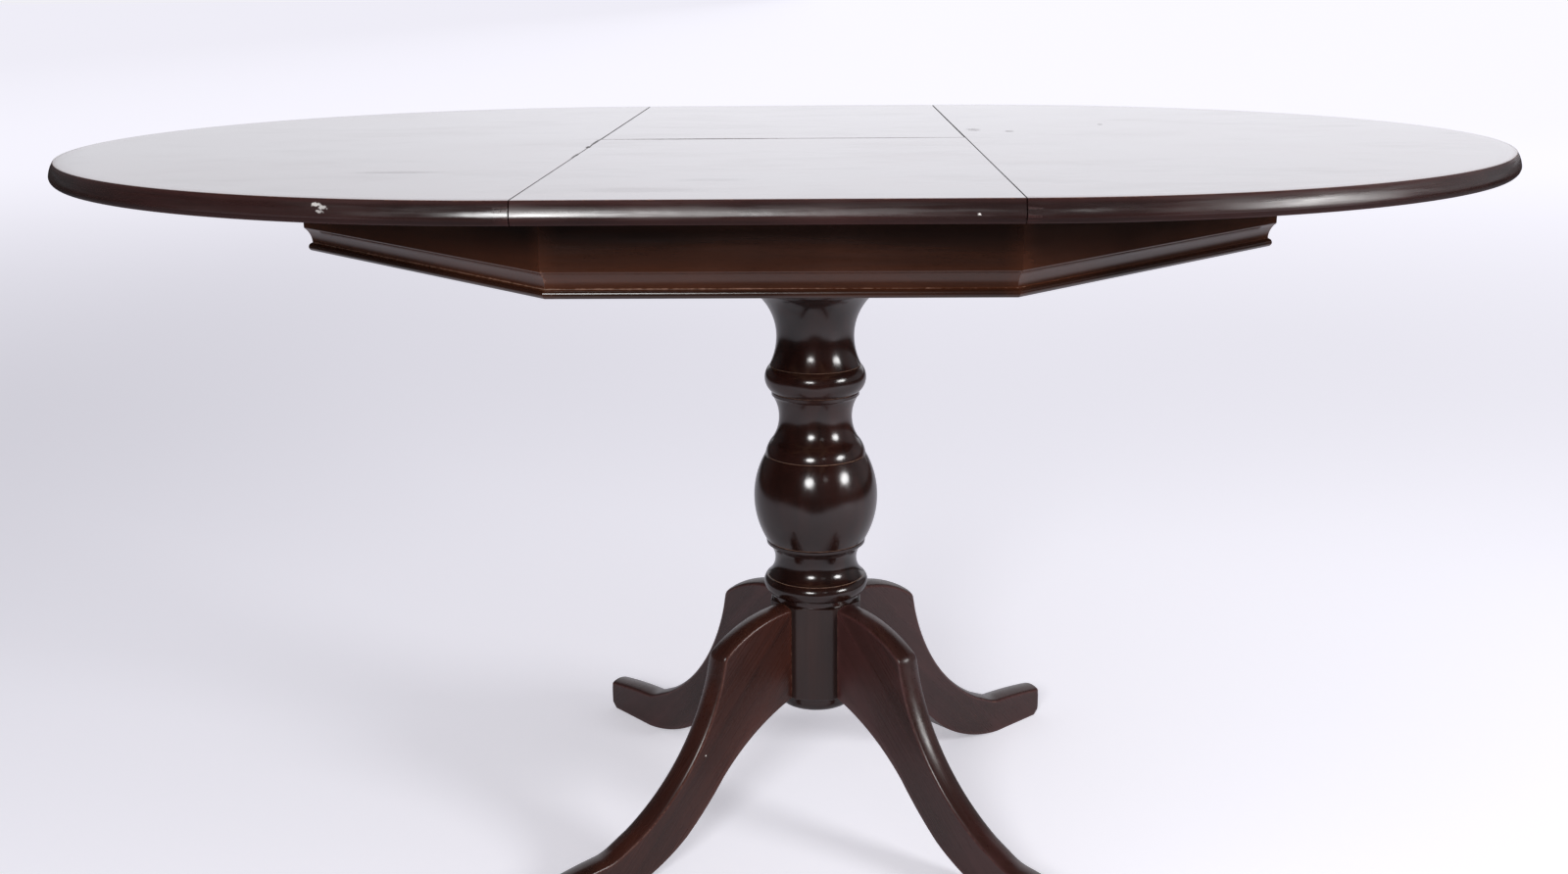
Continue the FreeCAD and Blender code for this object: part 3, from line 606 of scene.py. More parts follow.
class TABLE_OT_half_tops(bpy.types.Operator):
    """Make the two half-round tops with their moulded edges."""

    bl_idname = "table.half_tops"
    bl_label = "Half-tops"

    def execute(self, context):
        sizes = context.scene.table_sizes
        edge = moulded_edge(sizes)
        radius, thick, blunted = sizes.top_diameter / 2, sizes.top_thickness, sizes.seam_arris
        seam = sizes.leaf_width / 2 + sizes.seam_gap
        turn = np.linspace(-np.pi / 2, np.pi / 2, rim_steps + 1)
        rings = np.array(ring_shares)[:, None] * radius
        face = np.concatenate([rings, 0 * rings], axis=1)
        under = face[::-1] - (0, thick)
        section = np.concatenate([face, edge + (radius, 0), under])
        plain = np.zeros(len(rings))
        worn = np.concatenate([plain, arris_wear(edge[:, 1], sizes), plain])
        # The loop round the seam's face, and that loop blunted
        loop = np.concatenate([section, section[-2:0:-1] * (-1, 1)])
        loops = np.stack([loop, blunt(loop, (0, -thick / 2), blunted)])
        for side, name in ((-1, "left"), (1, "right")):
            r, level = section[:, :1], section[:, 1:] + sizes.table_height
            points = np.stack([side * (seam + blunted + r * np.cos(turn)), r * np.sin(turn),
                               level + 0 * turn], axis=-1)
            across = side * (seam + np.array([[blunted], [0]]))
            end = np.stack([across + 0 * loops[..., 0], loops[..., 0],
                            loops[..., 1] + sizes.table_height], axis=-1)
            heart = end[1] * (1, 0, 0) + (0, 0, sizes.table_height - thick / 2)
            end = np.concatenate([end, heart[None]])
            # Round the moulded edge, rubbing marks and bands run with the edge
            rounds = np.stack([r * turn, r + 0 * turn, level + 0 * turn], axis=-1)
            row = np.arange(len(section))
            moulded = (row >= len(rings)) & (row < len(rings) + len(edge))
            grain = np.where(moulded[:, None, None], rounds, points)
            piece = skin(f"{name}_half_top_polished",
                         [grid(points, grain, worn[:, None]),
                          grid(end, worn=np.array(seam_wear)[:, None], closed=True)], top_crease)
            dress_top(piece, f"{name}_top", f"{name}_half_top")
        return {"FINISHED"}


class TABLE_OT_leaf(bpy.types.Operator):
    """Make the two halves of the folding leaf."""

    bl_idname = "table.leaf"
    bl_label = "Folding leaf"

    def execute(self, context):
        sizes = context.scene.table_sizes
        edge = moulded_edge(sizes)
        radius, thick, round_fold = sizes.top_diameter / 2, sizes.top_thickness, sizes.fold_arris
        fold, half = sizes.fold_gap / 2, sizes.leaf_width / 2
        rows = np.array([fold + round_fold, *leaf_rows])[:, None]
        face = np.concatenate([rows, 0 * rows], axis=1)
        section = np.concatenate([[(fold, -thick + round_fold), (fold, -round_fold)], face,
                                  edge + (radius, 0), face[::-1] - (0, thick)])
        worn = np.concatenate([fold_wear, np.zeros(len(leaf_rows)),
                               arris_wear(edge[:, 1], sizes), np.zeros(len(rows))])
        middle = ((fold + radius) / 2, -thick / 2)
        # The rear half's ends are rubbed down more than the front half's
        for side, name, blunted in ((-1, "front", sizes.seam_arris), (1, "rear", round_fold)):
            run = np.linspace(blunted - half, half - blunted, leaf_steps + 1)
            along = np.concatenate([[-half], run, [half]])
            loops = np.repeat(section[None], len(along), axis=0)
            loops[0] = loops[-1] = blunt(section, middle, blunted)
            points = np.stack([along[:, None] + 0 * section[:, 0], side * loops[..., 0],
                               loops[..., 1] + sizes.table_height], axis=-1)
            piece = skin(f"leaf_{name}_half_polished",
                         [grid(points, worn=worn, closed=True, caps=True)], top_crease)
            bored(piece, [((number * sizes.barrel_spacing, side * fold,
                            sizes.table_height - thick / 2), (0, side, 0), sizes.barrel_radius,
                           sizes.barrel_length) for number in (-1, 0, 1)])
            dress_top(piece, f"leaf_{name}", f"leaf_{name}_half")
        return {"FINISHED"}


class TABLE_OT_frame(bpy.types.Operator):
    """Make the eight mitred sides of the frame, with fascia, cove and bead."""

    bl_idname = "table.frame_sides"
    bl_label = "Frame sides"

    def execute(self, context):
        sizes = context.scene.table_sizes
        top, rub = sizes.frame_height, 0.0006
        outside = sizes.frame_flats / 2
        inside = outside - sizes.frame_thickness
        cove_top = top - sizes.fascia_height
        cove_foot = cove_top - sizes.cove_height
        hollow = outside - sizes.cove_depth
        root = hollow + sizes.quirk
        nose = outside - sizes.bead_inset
        # The fascia's lower corner is rolled over into the cove, whose curve passes one point
        # given as shares of its depth and height
        roll_depth, roll_drop, roll_bulge = 0.0012, 0.0008, 0.0004
        depth_share, height_share = 0.74, 0.42
        lip = (outside - roll_depth, cove_top - roll_drop)
        cove = (outside - depth_share * sizes.cove_depth, cove_top - height_share * sizes.cove_height)
        section = traced(
            (inside, top),
            (1, None, (outside - rub, top)),
            (1, None, (outside, top - rub)),
            (8, None, (outside, cove_top + rub)),
            (3, (outside - roll_bulge, cove_top), lip),
            (12, cove, (hollow, cove_foot)),
            (1, None, (root, cove_foot)),
            (14, (nose, cove_foot / 2), (root, 0)),
            (1, None, (inside, 0)))
        reach, level = section[:, 0], section[:, 1]
        # A paler line runs along the step over the bead. Painted shade: the fascia is darkest in a
        # strip along its upper edge, under the top's overhang, and painted lighter and warmer below it
        # and in the cove
        shaded_band, step_line_width, inner_face = 0.015, 0.0007, inside + 0.002
        fascia = np.clip((top - shaded_band - level) / (sizes.fascia_height - shaded_band), 0, 1)
        fascia = np.where(level > cove_foot, fascia, 0.3)
        # worn here holds both the paler line over the bead and the painted shade down the fascia
        worn = 0.85 * bell(level, cove_foot, step_line_width) + 0.55 * fascia ** 1.5
        worn *= reach > inner_face
        mitre = math.tan(math.pi / 8)
        share = np.linspace(-1, 1, 25)[:, None]
        out, aside, up = reach + 0 * share, share * reach * mitre, level + 0 * share
        foot = sizes.frame_top - top
        sides = ("right", "rear_right", "rear", "rear_left", "left", "front_left", "front",
                 "front_right")
        for number, side in enumerate(sides):
            points = carried(out, aside, up + foot, number * math.pi / 4, sizes.frame_shift)
            grain = np.stack([aside + number, out, up], axis=-1)
            # The sides are darker towards the table's right end, and rubbed at the mitres
            thick = 1 - 0.5 * np.clip((points[..., 0] + 0.1) / 0.4, 0, 1)
            corner = worn * thick + 0.25 * bell(abs(share), 1, 0.003)
            piece = skin(f"frame_side_{side}_polished",
                         [grid(points, grain, corner, closed=True, caps=True)], crease=25)
            dress(piece, finish_of("frame"), "polished_frame", "base", f"frame_side_{side}")
        return {"FINISHED"}


# The column's outline from the leg block up: shares of the turned height and of the ball's
# radius. A row that starts with True is a point that the curve between its neighbours passes.
turning_shares = (
    (False, 0.000, 0.713), (False, 0.014, 0.713),
    (True, 0.038, 0.850), (False, 0.065, 0.793),
    (True, 0.114, 0.665), (False, 0.157, 0.772), (False, 0.160, 0.802), (False, 0.167, 0.806),
    (False, 0.170, 0.803), (True, 0.298, 1.000), (False, 0.414, 0.809),
    (True, 0.434, 0.777), (False, 0.457, 0.693),
    (True, 0.514, 0.587), (False, 0.578, 0.683),
    (False, 0.581, 0.703), (False, 0.591, 0.705),
    (True, 0.628, 0.811), (False, 0.663, 0.731),
    (True, 0.706, 0.643), (False, 0.747, 0.619),
    (True, 0.820, 0.738), (False, 0.869, 0.990),
    (False, 0.876, 1.019), (False, 0.884, 1.019),
    (True, 0.900, 1.092), (False, 0.918, 1.019),
    (False, 0.918, 0.902), (False, 1.000, 0.902),
)

# Fine grooves cut beside the beads and the ball, as rows of the table above. Each starts 0.8 mm
# away and is 1.3 mm deep, and holds dust
groove_rows = (3, 8, 10, 16, 18)
groove_start, groove_depth, groove_dust = 0.0008, 0.0013, 1.8


def turned_outline(sizes):
    """The column's half-section from its foot to its tenon, with curves between plain corners, and
    a fine groove cut at some of them, whose two sides meet. Also how dusty each point is."""
    rise = sizes.column_top - sizes.block_top
    spots = [(radius * sizes.column_radius, sizes.block_top + height * rise)
             for _, height, radius in turning_shares]
    corners = [row for row in range(len(spots)) if not turning_shares[row][0]]
    runs, dust = [], []
    for last, row in zip(corners, corners[1:]):
        start, end = spots[last], spots[row]
        run = bent(start, spots[row - 1], end, 18) if row - last == 2 else straight(start, end, 2)
        dusty = np.zeros(len(run))
        for place, tip, step in ((last, 0, 1), (row, -1, -1)):
            if place in groove_rows:
                # A new point stands beside the groove, and the run's tip goes to its bottom
                way = run[tip + step] - run[tip]
                beside = run[tip] + groove_start * way / np.linalg.norm(way)
                run, dusty = np.insert(run, step, beside, axis=0), np.insert(dusty, step, 0)
                run[tip] -= (groove_depth, 0)
                dusty[tip] = groove_dust
        runs.append(run)
        dust.append(dusty)
    return joined(*runs), joined(*dust)


# How far the base is turned against the top, in degrees
base_turn = -2
column_steps, disc_steps = 128, 96


class TABLE_OT_column(bpy.types.Operator):
    """Make the turned column with its eight-sided leg block, and the disc under it."""

    bl_idname = "table.column"
    bl_label = "Column"

    def execute(self, context):
        sizes = context.scene.table_sizes
        floor, top = sizes.block_floor, sizes.block_top
        outline, dust = turned_outline(sizes)
        tenon_top = sizes.column_top + sizes.tenon_height
        tenon = [(sizes.tenon_radius, sizes.column_top), (sizes.tenon_radius, tenon_top),
                 (0, tenon_top)]
        section = np.concatenate([[(0, top)], outline, tenon])
        turned = spin(section, column_steps, sizes.column_shift)
        dust = np.concatenate([[0], dust, [0, 0, 0]])[:, None]
        # The block: the upright corners are rubbed more than the upper and lower rims
        corner_rub, rub, rim = 0.0025, 0.0008, 0.985
        corner = sizes.block_flats / 2 / math.cos(math.pi / 8)
        angle = np.radians(base_turn + 22.5 + 45 * np.arange(8))
        plan = eased(np.stack([corner * np.cos(angle), corner * np.sin(angle)], axis=1),
                     corner_rub)
        levels = np.array([(0, floor), (rim, floor), (1, floor + rub), (1, top - rub), (rim, top),
                           (0, top)])
        wide, level = levels[:, :1], levels[:, 1:]
        block = np.stack([sizes.column_shift + wide * plan[:, 0], wide * plan[:, 1],
                          level + 0 * plan[:, 0]], axis=-1)
        # The grain runs up the column, so height comes first
        upright = [2, 0, 1]
        piece = skin("turned_column", [grid(turned, turned[..., upright], dust, closed=True),
                                       grid(block, block[..., upright], closed=True)], crease=28)
        dress(piece, finish_of("turned"), "polished_base", "base", "column")
        more_finish(piece, "block", lambda normals, middles: middles[:, 2] < top - 0.001)
        # The disc: a bead 3 mm high that stands 2 mm out, a drum, and a curve in to the foot
        radius, high = sizes.disc_radius, sizes.disc_height
        ring, bead, bead_high = radius + 0.002, radius + 0.0015, 0.003
        bend, foot = (0.94 * radius, floor - 0.853 * high), 0.795 * radius
        disc = traced(
            (0, floor),
            (1, None, (bead, floor)),
            (6, (ring, floor - bead_high / 2), (bead, floor - bead_high)),
            (1, None, (radius, floor - bead_high)),
            (3, None, (radius, floor - high / 2)),
            (10, bend, (foot, floor - high)),
            (3, None, (0, floor - high)))
        points = spin(disc, disc_steps, sizes.column_shift)
        piece = skin("turned_disc", [grid(points, closed=True)], crease=28)
        dress(piece, finish_of("turned"), "polished_base", "base", "foot_disc")
        return {"FINISHED"}


# The leg's outline, from the block's face out to the toe: shares of that reach and of its rise
top_bend_shares = (0.153, 0.969)
knee_shares = (0.294, 0.876)
front_bend_shares = (0.464, 0.424)
front_end_shares = (0.746, 0.177)
toe_bend_shares = (0.878, 1.14)
sole_start_share = 0.759
under_bend_shares = (0.536, 0.083)
under_turn_shares = (0.342, 0.285)
root_bend_shares = (0.179, 0.475)


def leg_outlines(sizes):
    """The leg's upper and lower outlines as distance out and height, point for point alike."""
    root, reach, top = sizes.block_flats / 2, sizes.leg_reach, sizes.block_top

    def spot(shares):
        return root + shares[0] * (reach - root), shares[1] * top

    toe_bend = (spot(toe_bend_shares)[0], toe_bend_shares[1] * sizes.toe_height)
    knee, front_end, turn = spot(knee_shares), spot(front_end_shares), spot(under_turn_shares)
    rise = bent((root, top), spot(top_bend_shares), knee, 24)
    fall = bent(knee, spot(front_bend_shares), front_end, 34)
    foot = bent(front_end, toe_bend, (reach, sizes.toe_height), 16)
    # The knee is rubbed round, and the last two curves run into each other
    round_knee = rubbed(rise[-4], knee, fall[3], 0.006, 6)
    blended = rubbed(fall[-6], front_end, foot[4], 0.05, 8)
    upper = np.concatenate([rise[:-3], round_knee, fall[3:-5], blended, foot[4:]])
    # Under the leg, the curves get as many steps together as the upper outline has
    under_steps, sole_steps = 18, 15
    meet = len(upper) - under_steps - sole_steps - 2
    lower = traced(
        (root, sizes.block_floor),
        (meet, spot(root_bend_shares), turn),
        (under_steps, spot(under_bend_shares), spot((sole_start_share, 0))),
        (sole_steps, None, (reach - sizes.toe_chamfer, 0)),
        (1, None, (reach, sizes.toe_chamfer)))
    # There, too, one curve runs into the next
    lower[meet - 6:meet + 7] = bent(lower[meet - 6], turn, lower[meet + 6], 12)
    return upper, lower


def sideways(outline, way):
    """Unit normals of an outline, a quarter turn from its tangents, down for -1 and up for 1."""
    tangent = np.gradient(outline, axis=0)
    normal = np.stack([-tangent[:, 1], tangent[:, 0]], axis=1)
    normal /= np.linalg.norm(normal, axis=1, keepdims=True)
    return np.where(way * normal[:, 1:] < 0, -normal, normal)


class TABLE_OT_legs(bpy.types.Operator):
    """Make the four sabre legs, with a crowned upper side and rubbed edges."""

    bl_idname = "table.legs"
    bl_label = "Legs"

    def execute(self, context):
        sizes = context.scene.table_sizes
        upper, lower = leg_outlines(sizes)
        half, crown = sizes.leg_thickness / 2, sizes.leg_crown
        rub, side_lift, bevel, sole = 0.0014, 0.0008, 0.0012, 0.005
        # The section round the leg: y, share of the way from the upper to the lower outline,
        # how far inside each outline, and wear
        ridge = np.linspace(-1, 1, 15) * (half - rub)
        plain = 0 * ridge
        middle = np.stack([ridge, plain, crown * (ridge / half) ** 2, plain, plain], axis=1)
        top_edge = [(half - 0.4 * rub, 0, crown + 0.25 * rub, 0, 0.85), (half, 0, crown + rub, 0, 0.85),
                    (half, 0, crown + 2 * rub, 0, 0.1)]
        side = [(half, share, (1 - share) * (crown + rub), share * side_lift, 0)
                for share in np.linspace(0.2, 0.9, 6)]
        low_edge = [(half, 1, 0, bevel, 0.5), (half - bevel / 4, 1, 0, bevel / 4, 0.8),
                    (half - bevel, 1, 0, 0, 0.5), (half - sole, 1, 0, 0, 0)]
        right = np.array(top_edge + side + low_edge)
        section = np.concatenate([middle, right, right[::-1] * (-1, 1, 1, 1, 1)])
        across, share, drop, lift, worn = section.T[..., None]
        above = upper[:, None] + drop * sideways(upper, -1)[:, None]
        below = lower[:, None] + lift * sideways(lower, 1)[:, None]
        flat = (1 - share) * above + share * below
        out, up = flat[..., 0], np.maximum(flat[..., 1], 0)
        aside = across[:, 0] + 0 * out
        # Dust lies where the leg meets the block
        dusty = np.maximum(worn[:, 0], 1.15 * bell(out, out.min(), 0.003))
        for number, name in enumerate(("rear_right", "rear_left", "front_left", "front_right")):
            turn = math.radians(base_turn + 45 + 90 * number)
            points = carried(out, aside, up, turn, sizes.column_shift)
            # The grain runs down the leg, at 45 degrees, and each leg is another board
            grain = np.stack([(out - up) * 0.7 + number, (out + up) * 0.7, aside], axis=-1)
            piece = skin(f"leg_{name}_polished", [grid(points, grain, dusty, closed=True, caps=True)],
                         crease=30)
            finish = finish_of("warm_leg" if name == "front_left" else "leg")
            dress(piece, finish, "polished_base", "base", f"leg_{name}")
        return {"FINISHED"}


class TABLE_OT_underframe(bpy.types.Operator):
    """Finish the slides, runners, bearers and blocks under the top, and the hinges."""

    bl_idname = "table.underframe"
    bl_label = "Underframe"

    def execute(self, context):
        crosswise = ("bearer_left", "bearer_right", "top_block")
        for name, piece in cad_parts.items():
            if piece.hide_render:
                continue
            if name.endswith("barrels"):
                finish = finish_of("brass")
            else:
                finish = finish_of("wood_y" if name in crosswise else "wood_x")
            piece.data.materials.clear()
            piece.data.materials.append(finish)
        return {"FINISHED"}


# A screw's head: its lanes as shares of its radius, with the slot between the two middle pairs,
# the slot's half-width as a share, and its depth, the dome's rise and the head's, in metres
head_lanes = (-1, -0.8, -0.5, -0.13, -0.12, 0.12, 0.13, 0.5, 0.8, 1)
slot_share, slot_depth, dome_rise, head_rise = 0.125, 0.0009, 0.0004, 0.0002
# Places of the screws: either side of a bearer's middle, inwards from a runner's outer end, and
# along the top block, in metres
slide_screws, runner_screws = (-0.016, 0.016), (0.02, 0.065, 0.11)
block_screws = (-0.085, -0.035, 0.035, 0.085)


class TABLE_OT_screws(bpy.types.Operator):
    """Make the heads of the brass screws under the runners, the bearers and the top block."""

    bl_idname = "table.screws"
    bl_label = "Screws"

    def execute(self, context):
        radius = context.scene.table_sizes.screw_radius
        # Each lane is a chord of the head's circle, y = v (r^2 - x^2)^(1/2), sunk in the slot
        lane = np.array(head_lanes)[:, None] * radius
        chord = np.linspace(-1, 1, 7) * np.sqrt(np.maximum(radius ** 2 - lane ** 2, 0))
        dome = dome_rise * (1 - (lane ** 2 + chord ** 2) / radius ** 2)
        sunk = np.where(np.abs(lane) < slot_share * radius, -slot_depth, dome)
        head = np.stack([lane + 0 * chord, chord, head_rise - sunk], axis=-1)
        lines = {"base": [], "left_top": [], "right_top": []}
        for side, inwards in (("left", 1), ("right", -1)):
            low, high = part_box(f"bearer_{side}")
            middle = (low.x + high.x) / 2
            for row in ("front", "rear"):
                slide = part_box(f"fixed_slide_{row}")
                lines["base"] += [(middle + step, (slide[0].y + slide[1].y) / 2, low.z)
                                  for step in slide_screws]
                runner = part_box(f"{side}_{row}_runner")
                outer = runner[0 if side == "left" else 1].x
                lines[f"{side}_top"] += [(outer + inwards * step, (runner[0].y + runner[1].y) / 2,
                                          runner[0].z) for step in runner_screws]
            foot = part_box("top_block")[0].z
            lines["base"] += [(middle, along, foot) for along in block_screws]
        for body, places in lines.items():
            piece = skin(f"{body}_screws", [grid(head + place) for place in places], crease=25)
            normals = np.empty(len(piece.data.polygons) * 3)
            piece.data.polygons.foreach_get("normal", normals)
            if normals[2::3].mean() > 0:
                piece.data.flip_normals()
            dress(piece, finish_of("brass"), "brass_hinges", body)
        return {"FINISHED"}


# A MapRange node whose slope starts and ends softly
softly = {"interpolation_type": "SMOOTHSTEP"}


class TABLE_OT_stage(bpy.types.Operator):
    """Make the camera, the lamps, the pale backdrop and the floor."""

    bl_idname = "table.stage"
    bl_label = "Stage"

    def execute(self, context):
        self.camera(context)
        self.lamps(context)
        self.backdrop(context)
        self.floor(context)
        context.scene.view_settings.view_transform = "Standard"
        return {"FINISHED"}

    def camera(self, context):
        """A camera at the photograph's place, turned by its yaw, pitch and roll."""
        stage = context.scene.table_stage
        yaw, pitch, roll = stage.camera_yaw, stage.camera_pitch, stage.camera_roll
        ahead = Vector((math.sin(yaw) * math.cos(pitch), math.cos(yaw) * math.cos(pitch),
                        -math.sin(pitch)))
        right = Vector((math.cos(yaw), -math.sin(yaw), 0))
        up = right.cross(ahead)
        right, up = (right * math.cos(roll) + up * math.sin(roll),
                     up * math.cos(roll) - right * math.sin(roll))
        lens = bpy.data.cameras.new("camera")
        lens.sensor_width = 36
        lens.lens = stage.focal_length
        lens.clip_end = 2 * stage.floor_radius
        camera = bpy.data.objects.new("camera", lens)
        context.scene.collection.objects.link(camera)
        turn = Matrix((right, up, -ahead)).transposed().to_4x4()
        camera.matrix_world = Matrix.Translation(stage.camera_place) @ turn
        context.scene.camera = camera

    def lamps(self, context):
        """Round soft boxes, each aimed at the column."""
        stage = context.scene.table_stage
        column = Vector((0.03, 0, 0.45))
        # The boxes' sizes, and their shares of the lamp power
        boxes = (("left", (0.85, 0.6), 1), ("right", (0.85, 0.6), 0.9), ("small", (0.25, 0.12), 0.02))
        for name, size, share in boxes:
            light = bpy.data.lights.new(f"lamp_{name}", "AREA")
            light.shape = "ELLIPSE"
            light.size, light.size_y = size
            light.energy = stage.lamp_power * share
            lamp = bpy.data.objects.new(light.name, light)
            context.scene.collection.objects.link(lamp)
            lamp.location = getattr(stage, f"{name}_lamp_place")
            lamp.rotation_euler = (column - lamp.location).to_track_quat("-Z", "Y").to_euler()
            lamp.visible_camera = False

    def backdrop(self, context):
        """A pale world: white where it is seen, and mirrored white behind the table and dim in
        front of it, where the room is. It lights the table more softly."""
        stage = context.scene.table_stage
        world = bpy.data.worlds.new("backdrop")
        context.scene.world = world
        world.use_nodes = True
        tree = world.node_tree
        tree.nodes.clear()
        rays = add(tree, "LightPath").outputs
        place = add(tree, "TexCoord").outputs["Generated"]
        ways = add(tree, "SeparateXYZ", {0: place}).outputs
        mirrored = add(tree, "MapRange", {"Value": ways["Y"], "From Min": 0.0, "From Max": 0.5,
                                          "To Min": stage.room, "To Max": 1.0}, **softly)
        # The paper is as wide as the picture, and greyer on the left
        for start, end, least in ((-0.52, -0.4, 0.1), (-0.42, 0.0, 0.84), (0.66, 0.5, 0.1)):
            paper = add(tree, "MapRange", {"Value": ways["X"], "From Min": start, "From Max": end,
                                           "To Min": least, "To Max": 1.0}, **softly)
            mirrored = add(tree, "Math", {0: mirrored, 1: paper}, operation="MULTIPLY")
        # A lit wall stands on the right
        wall = add(tree, "MapRange", {"Value": ways["X"], "From Min": 0.55, "From Max": 1.0,
                                      "To Min": 0.0, "To Max": 0.3}, **softly)
        mirrored = add(tree, "Math", {0: mirrored, 1: wall}, use_clamp=True)
        mirror = add(tree, "Math", {0: rays["Is Glossy Ray"], 1: rays["Is Transmission Ray"]},
                     operation="MAXIMUM")
        lit = add(tree, "Mix", {0: mirror, 2: stage.ambient, 3: mirrored})
        level = add(tree, "Mix", {0: rays["Is Camera Ray"], 2: lit, 3: 0.95})
        glow = add(tree, "Background", {"Color": rgba(linear("#f6f5fb")), "Strength": level})
        add(tree, "OutputWorld", {0: glow})

    def floor(self, context):
        """A round floor, lifted towards white by a glow that only the camera and mirrors see."""
        stage, look = context.scene.table_stage, context.scene.table_finishes
        turn = np.linspace(0, 2 * np.pi, 96, endpoint=False)
        radius = np.array([0, 1, 2, 4, 8, 16, 40, 120, stage.floor_radius])[:, None]
        points = np.stack([radius * np.cos(turn), radius * np.sin(turn), 0 * radius * turn], axis=-1)
        floor = skin("floor", [grid(points, closed=True)])
        material, tree = blank("painted_floor")
        rays = add(tree, "LightPath").outputs
        mirrored = add(tree, "Math", {0: rays["Is Glossy Ray"], 1: 0.2}, operation="MULTIPLY")
        seen = add(tree, "Math", {0: rays["Is Camera Ray"], 1: mirrored}, operation="MAXIMUM")
        place = add(tree, "TexCoord").outputs["Object"]
        ways = dict(add(tree, "SeparateXYZ", {0: place}).outputs.items())
        ways["far"] = add(tree, "VectorMath", {0: place}, operation="LENGTH")
        # The paper is whitest at the back, dim on the left, and a little lifted in between, as
        # a paper is that some light falls on from all sides. Each slope goes along a way, from
        # one place to another, by how much, and may fade out along another way
        slopes = ((("far", 0.5, 9.0, 0.37), None), (("X", -2.2, 0.6, 0.19), ("far", 2.0, 12.0)),
                  (("X", 0.3, 1.2, -0.2), ("Y", -0.9, 0.9)),
                  (("X", -14.0, 2.0, 0.12), ("far", 12.0, 2.0)))
        glow_level = stage.floor_glow
        for (way, start, end, rise), fade in slopes:
            slope = add(tree, "MapRange", {"Value": ways[way], "From Min": start, "From Max": end,
                                           "To Max": rise}, **softly)
            if fade:
                kept = add(tree, "MapRange", {"Value": ways[fade[0]], "From Min": fade[1],
                                              "From Max": fade[2], "To Min": 1.0, "To Max": 0.0},
                           **softly)
                slope = add(tree, "Math", {0: slope, 1: kept}, operation="MULTIPLY")
            glow_level = add(tree, "Math", {0: slope, 1: glow_level})
        level = add(tree, "Math", {0: seen, 1: glow_level}, operation="MULTIPLY")
        # Painted reflection: in mirrors only, the paper ends in front of the table and a dark floor
        # stands for the room's
        edge = add(tree, "MapRange", {"Value": ways["Y"], "From Min": -2.0, "From Max": -1.0},
                   **softly)
        aside = add(tree, "Math", {0: ways["X"]}, operation="ABSOLUTE")
        flank = add(tree, "MapRange", {"Value": aside, "From Min": 1.6, "From Max": 2.8,
                                       "To Min": 1.0, "To Max": 0.0}, **softly)
        # Painted reflection too: in mirrors only, a dark round patch 1 m wide stands for whatever is in
        # front of the table
        stand = add(tree, "VectorMath", {0: place, 1: (0.04, -1.75, 0)}, operation="DISTANCE")
        clear = add(tree, "MapRange", {"Value": stand, "From Min": 0.3, "From Max": 0.8}, **softly)
        inside = add(tree, "Math", {0: edge, 1: flank}, operation="MULTIPLY")
        inside = add(tree, "Math", {0: inside, 1: clear}, operation="MULTIPLY")
        outside = add(tree, "Math", {0: 1.0, 1: inside}, operation="SUBTRACT")
        dark = add(tree, "Math", {0: outside, 1: rays["Is Glossy Ray"]}, operation="MULTIPLY")
        paint = add(tree, "BsdfDiffuse", {"Color": rgba(look.floor)})
        glow = add(tree, "Emission", {"Color": rgba(look.floor), "Strength": level})
        paper = add(tree, "AddShader", {0: paint, 1: glow})
        room = add(tree, "BsdfDiffuse", {"Color": (0.06, 0.055, 0.05, 1)})
        both = add(tree, "MixShader", {0: dark, 1: paper, 2: room})
        add(tree, "OutputMaterial", {0: both})
        floor.data.materials.append(material)


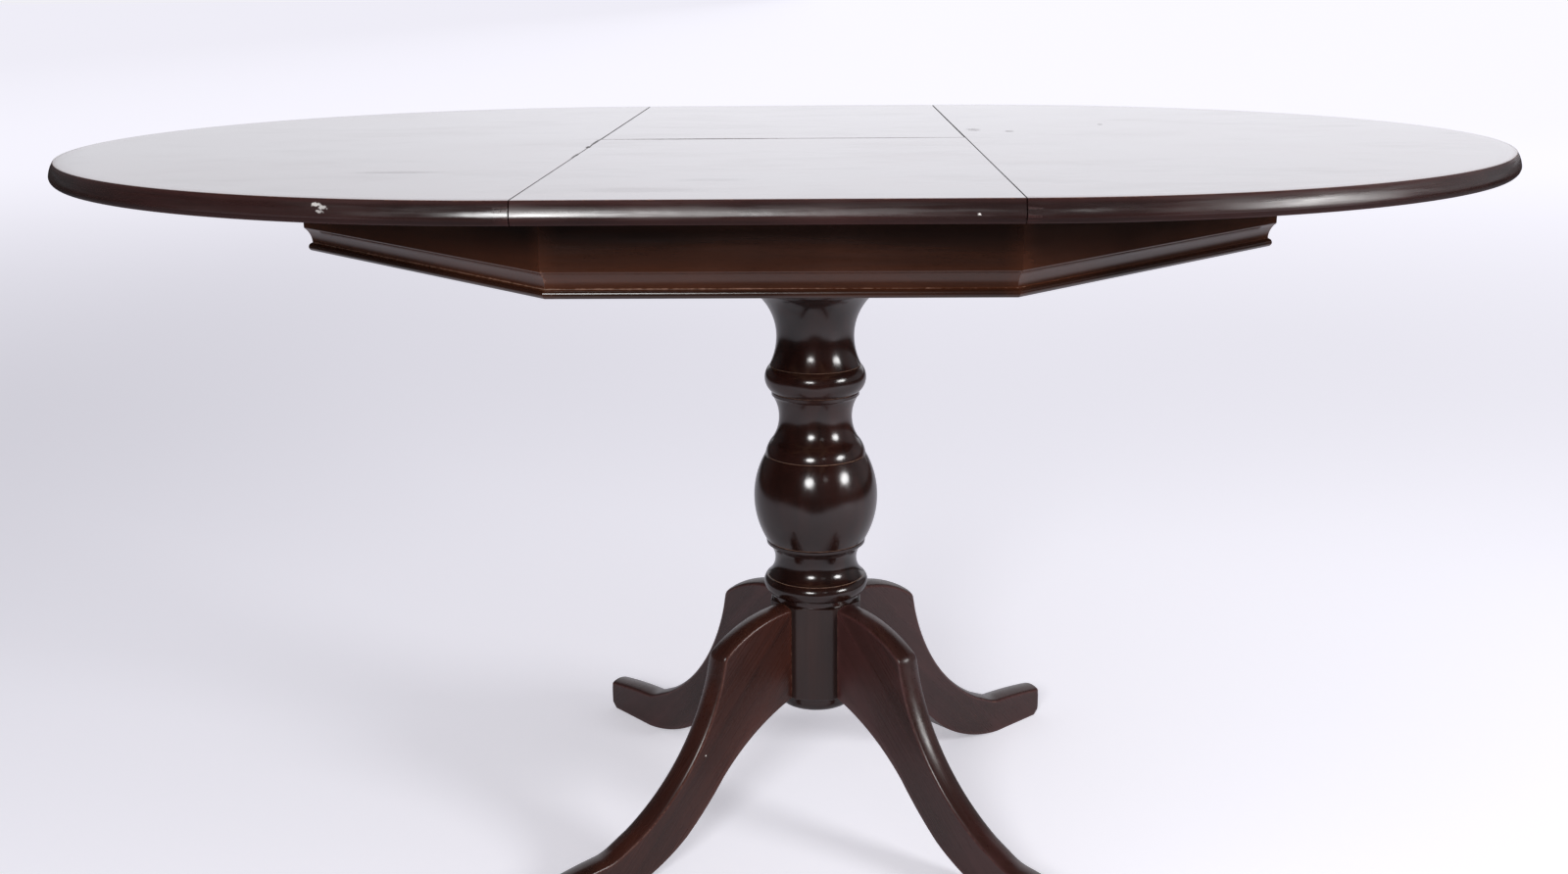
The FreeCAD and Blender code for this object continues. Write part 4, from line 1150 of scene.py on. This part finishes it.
class TableStage(bpy.types.PropertyGroup):
    """The camera, the lamps and the floor."""

    camera_place: FloatVectorProperty(name="Camera place", description="Where the camera stands",
                                      default=(0.03972, -1.75820, 0.92050), subtype="XYZ",
                                      unit="LENGTH")
    camera_yaw: FloatProperty(name="Camera yaw", description="Turn to the right", default=-0.02311,
                              subtype="ANGLE")
    camera_pitch: FloatProperty(name="Camera pitch", description="Tilt downwards", default=0.26284,
                                subtype="ANGLE")
    camera_roll: FloatProperty(name="Camera roll", description="Lean", default=-0.00793,
                               subtype="ANGLE")
    focal_length: FloatProperty(name="Focal length", description="Of a 36 mm wide frame",
                                default=37.735, unit="CAMERA")
    left_lamp_place: FloatVectorProperty(name="Left lamp", description="Left of the camera",
                                         default=(-0.58, -2.75, 1.5), subtype="XYZ", unit="LENGTH")
    right_lamp_place: FloatVectorProperty(name="Right lamp", description="To the table's right",
                                          default=(2.3, -1.25, 1.3), subtype="XYZ", unit="LENGTH")
    small_lamp_place: FloatVectorProperty(name="Small lamp", description="A dim lamp between them",
                                          default=(0.95, -2.45, 1.62), subtype="XYZ",
                                          unit="LENGTH")
    lamp_power: FloatProperty(name="Lamp power", description="Of the left soft box", default=38,
                              unit="POWER")
    ambient: FloatProperty(name="Ambient", description="How strongly the backdrop lights the table",
                           default=0.47)
    room: FloatProperty(name="Room", description="How bright the room in front looks in a mirror",
                        default=0.09)
    floor_glow: FloatProperty(name="Floor glow", description="Glow that the camera sees",
                              default=0.17)
    floor_radius: length("Floor radius", 600.0, "Radius of the round floor")


class TABLE_PT_panel(bpy.types.Panel):
    """Lists the pieces of the table."""

    bl_label = "Table"
    bl_idname = "TABLE_PT_panel"
    bl_space_type = "VIEW_3D"
    bl_region_type = "UI"
    bl_category = "Table"

    def draw(self, context):
        for operator in operators:
            self.layout.operator(operator.bl_idname)


groups = (TableSizes, TableFinishes, TableStage)
operators = (TABLE_OT_half_tops, TABLE_OT_leaf, TABLE_OT_frame, TABLE_OT_column, TABLE_OT_legs,
             TABLE_OT_underframe, TABLE_OT_screws, TABLE_OT_stage)


def register():
    for made in groups + operators + (TABLE_PT_panel,):
        bpy.utils.register_class(made)
    bpy.types.Scene.table_sizes = PointerProperty(type=TableSizes)
    bpy.types.Scene.table_finishes = PointerProperty(type=TableFinishes)
    bpy.types.Scene.table_stage = PointerProperty(type=TableStage)


def unregister():
    for name in ("table_sizes", "table_finishes", "table_stage"):
        delattr(bpy.types.Scene, name)
    for made in reversed(groups + operators + (TABLE_PT_panel,)):
        bpy.utils.unregister_class(made)


def main():
    """Makes every piece."""
    register()
    bpy.ops.table.half_tops()
    bpy.ops.table.leaf()
    bpy.ops.table.frame_sides()
    bpy.ops.table.column()
    bpy.ops.table.legs()
    bpy.ops.table.underframe()
    bpy.ops.table.screws()
    bpy.ops.table.stage()


if __name__ == "__main__":
    main()
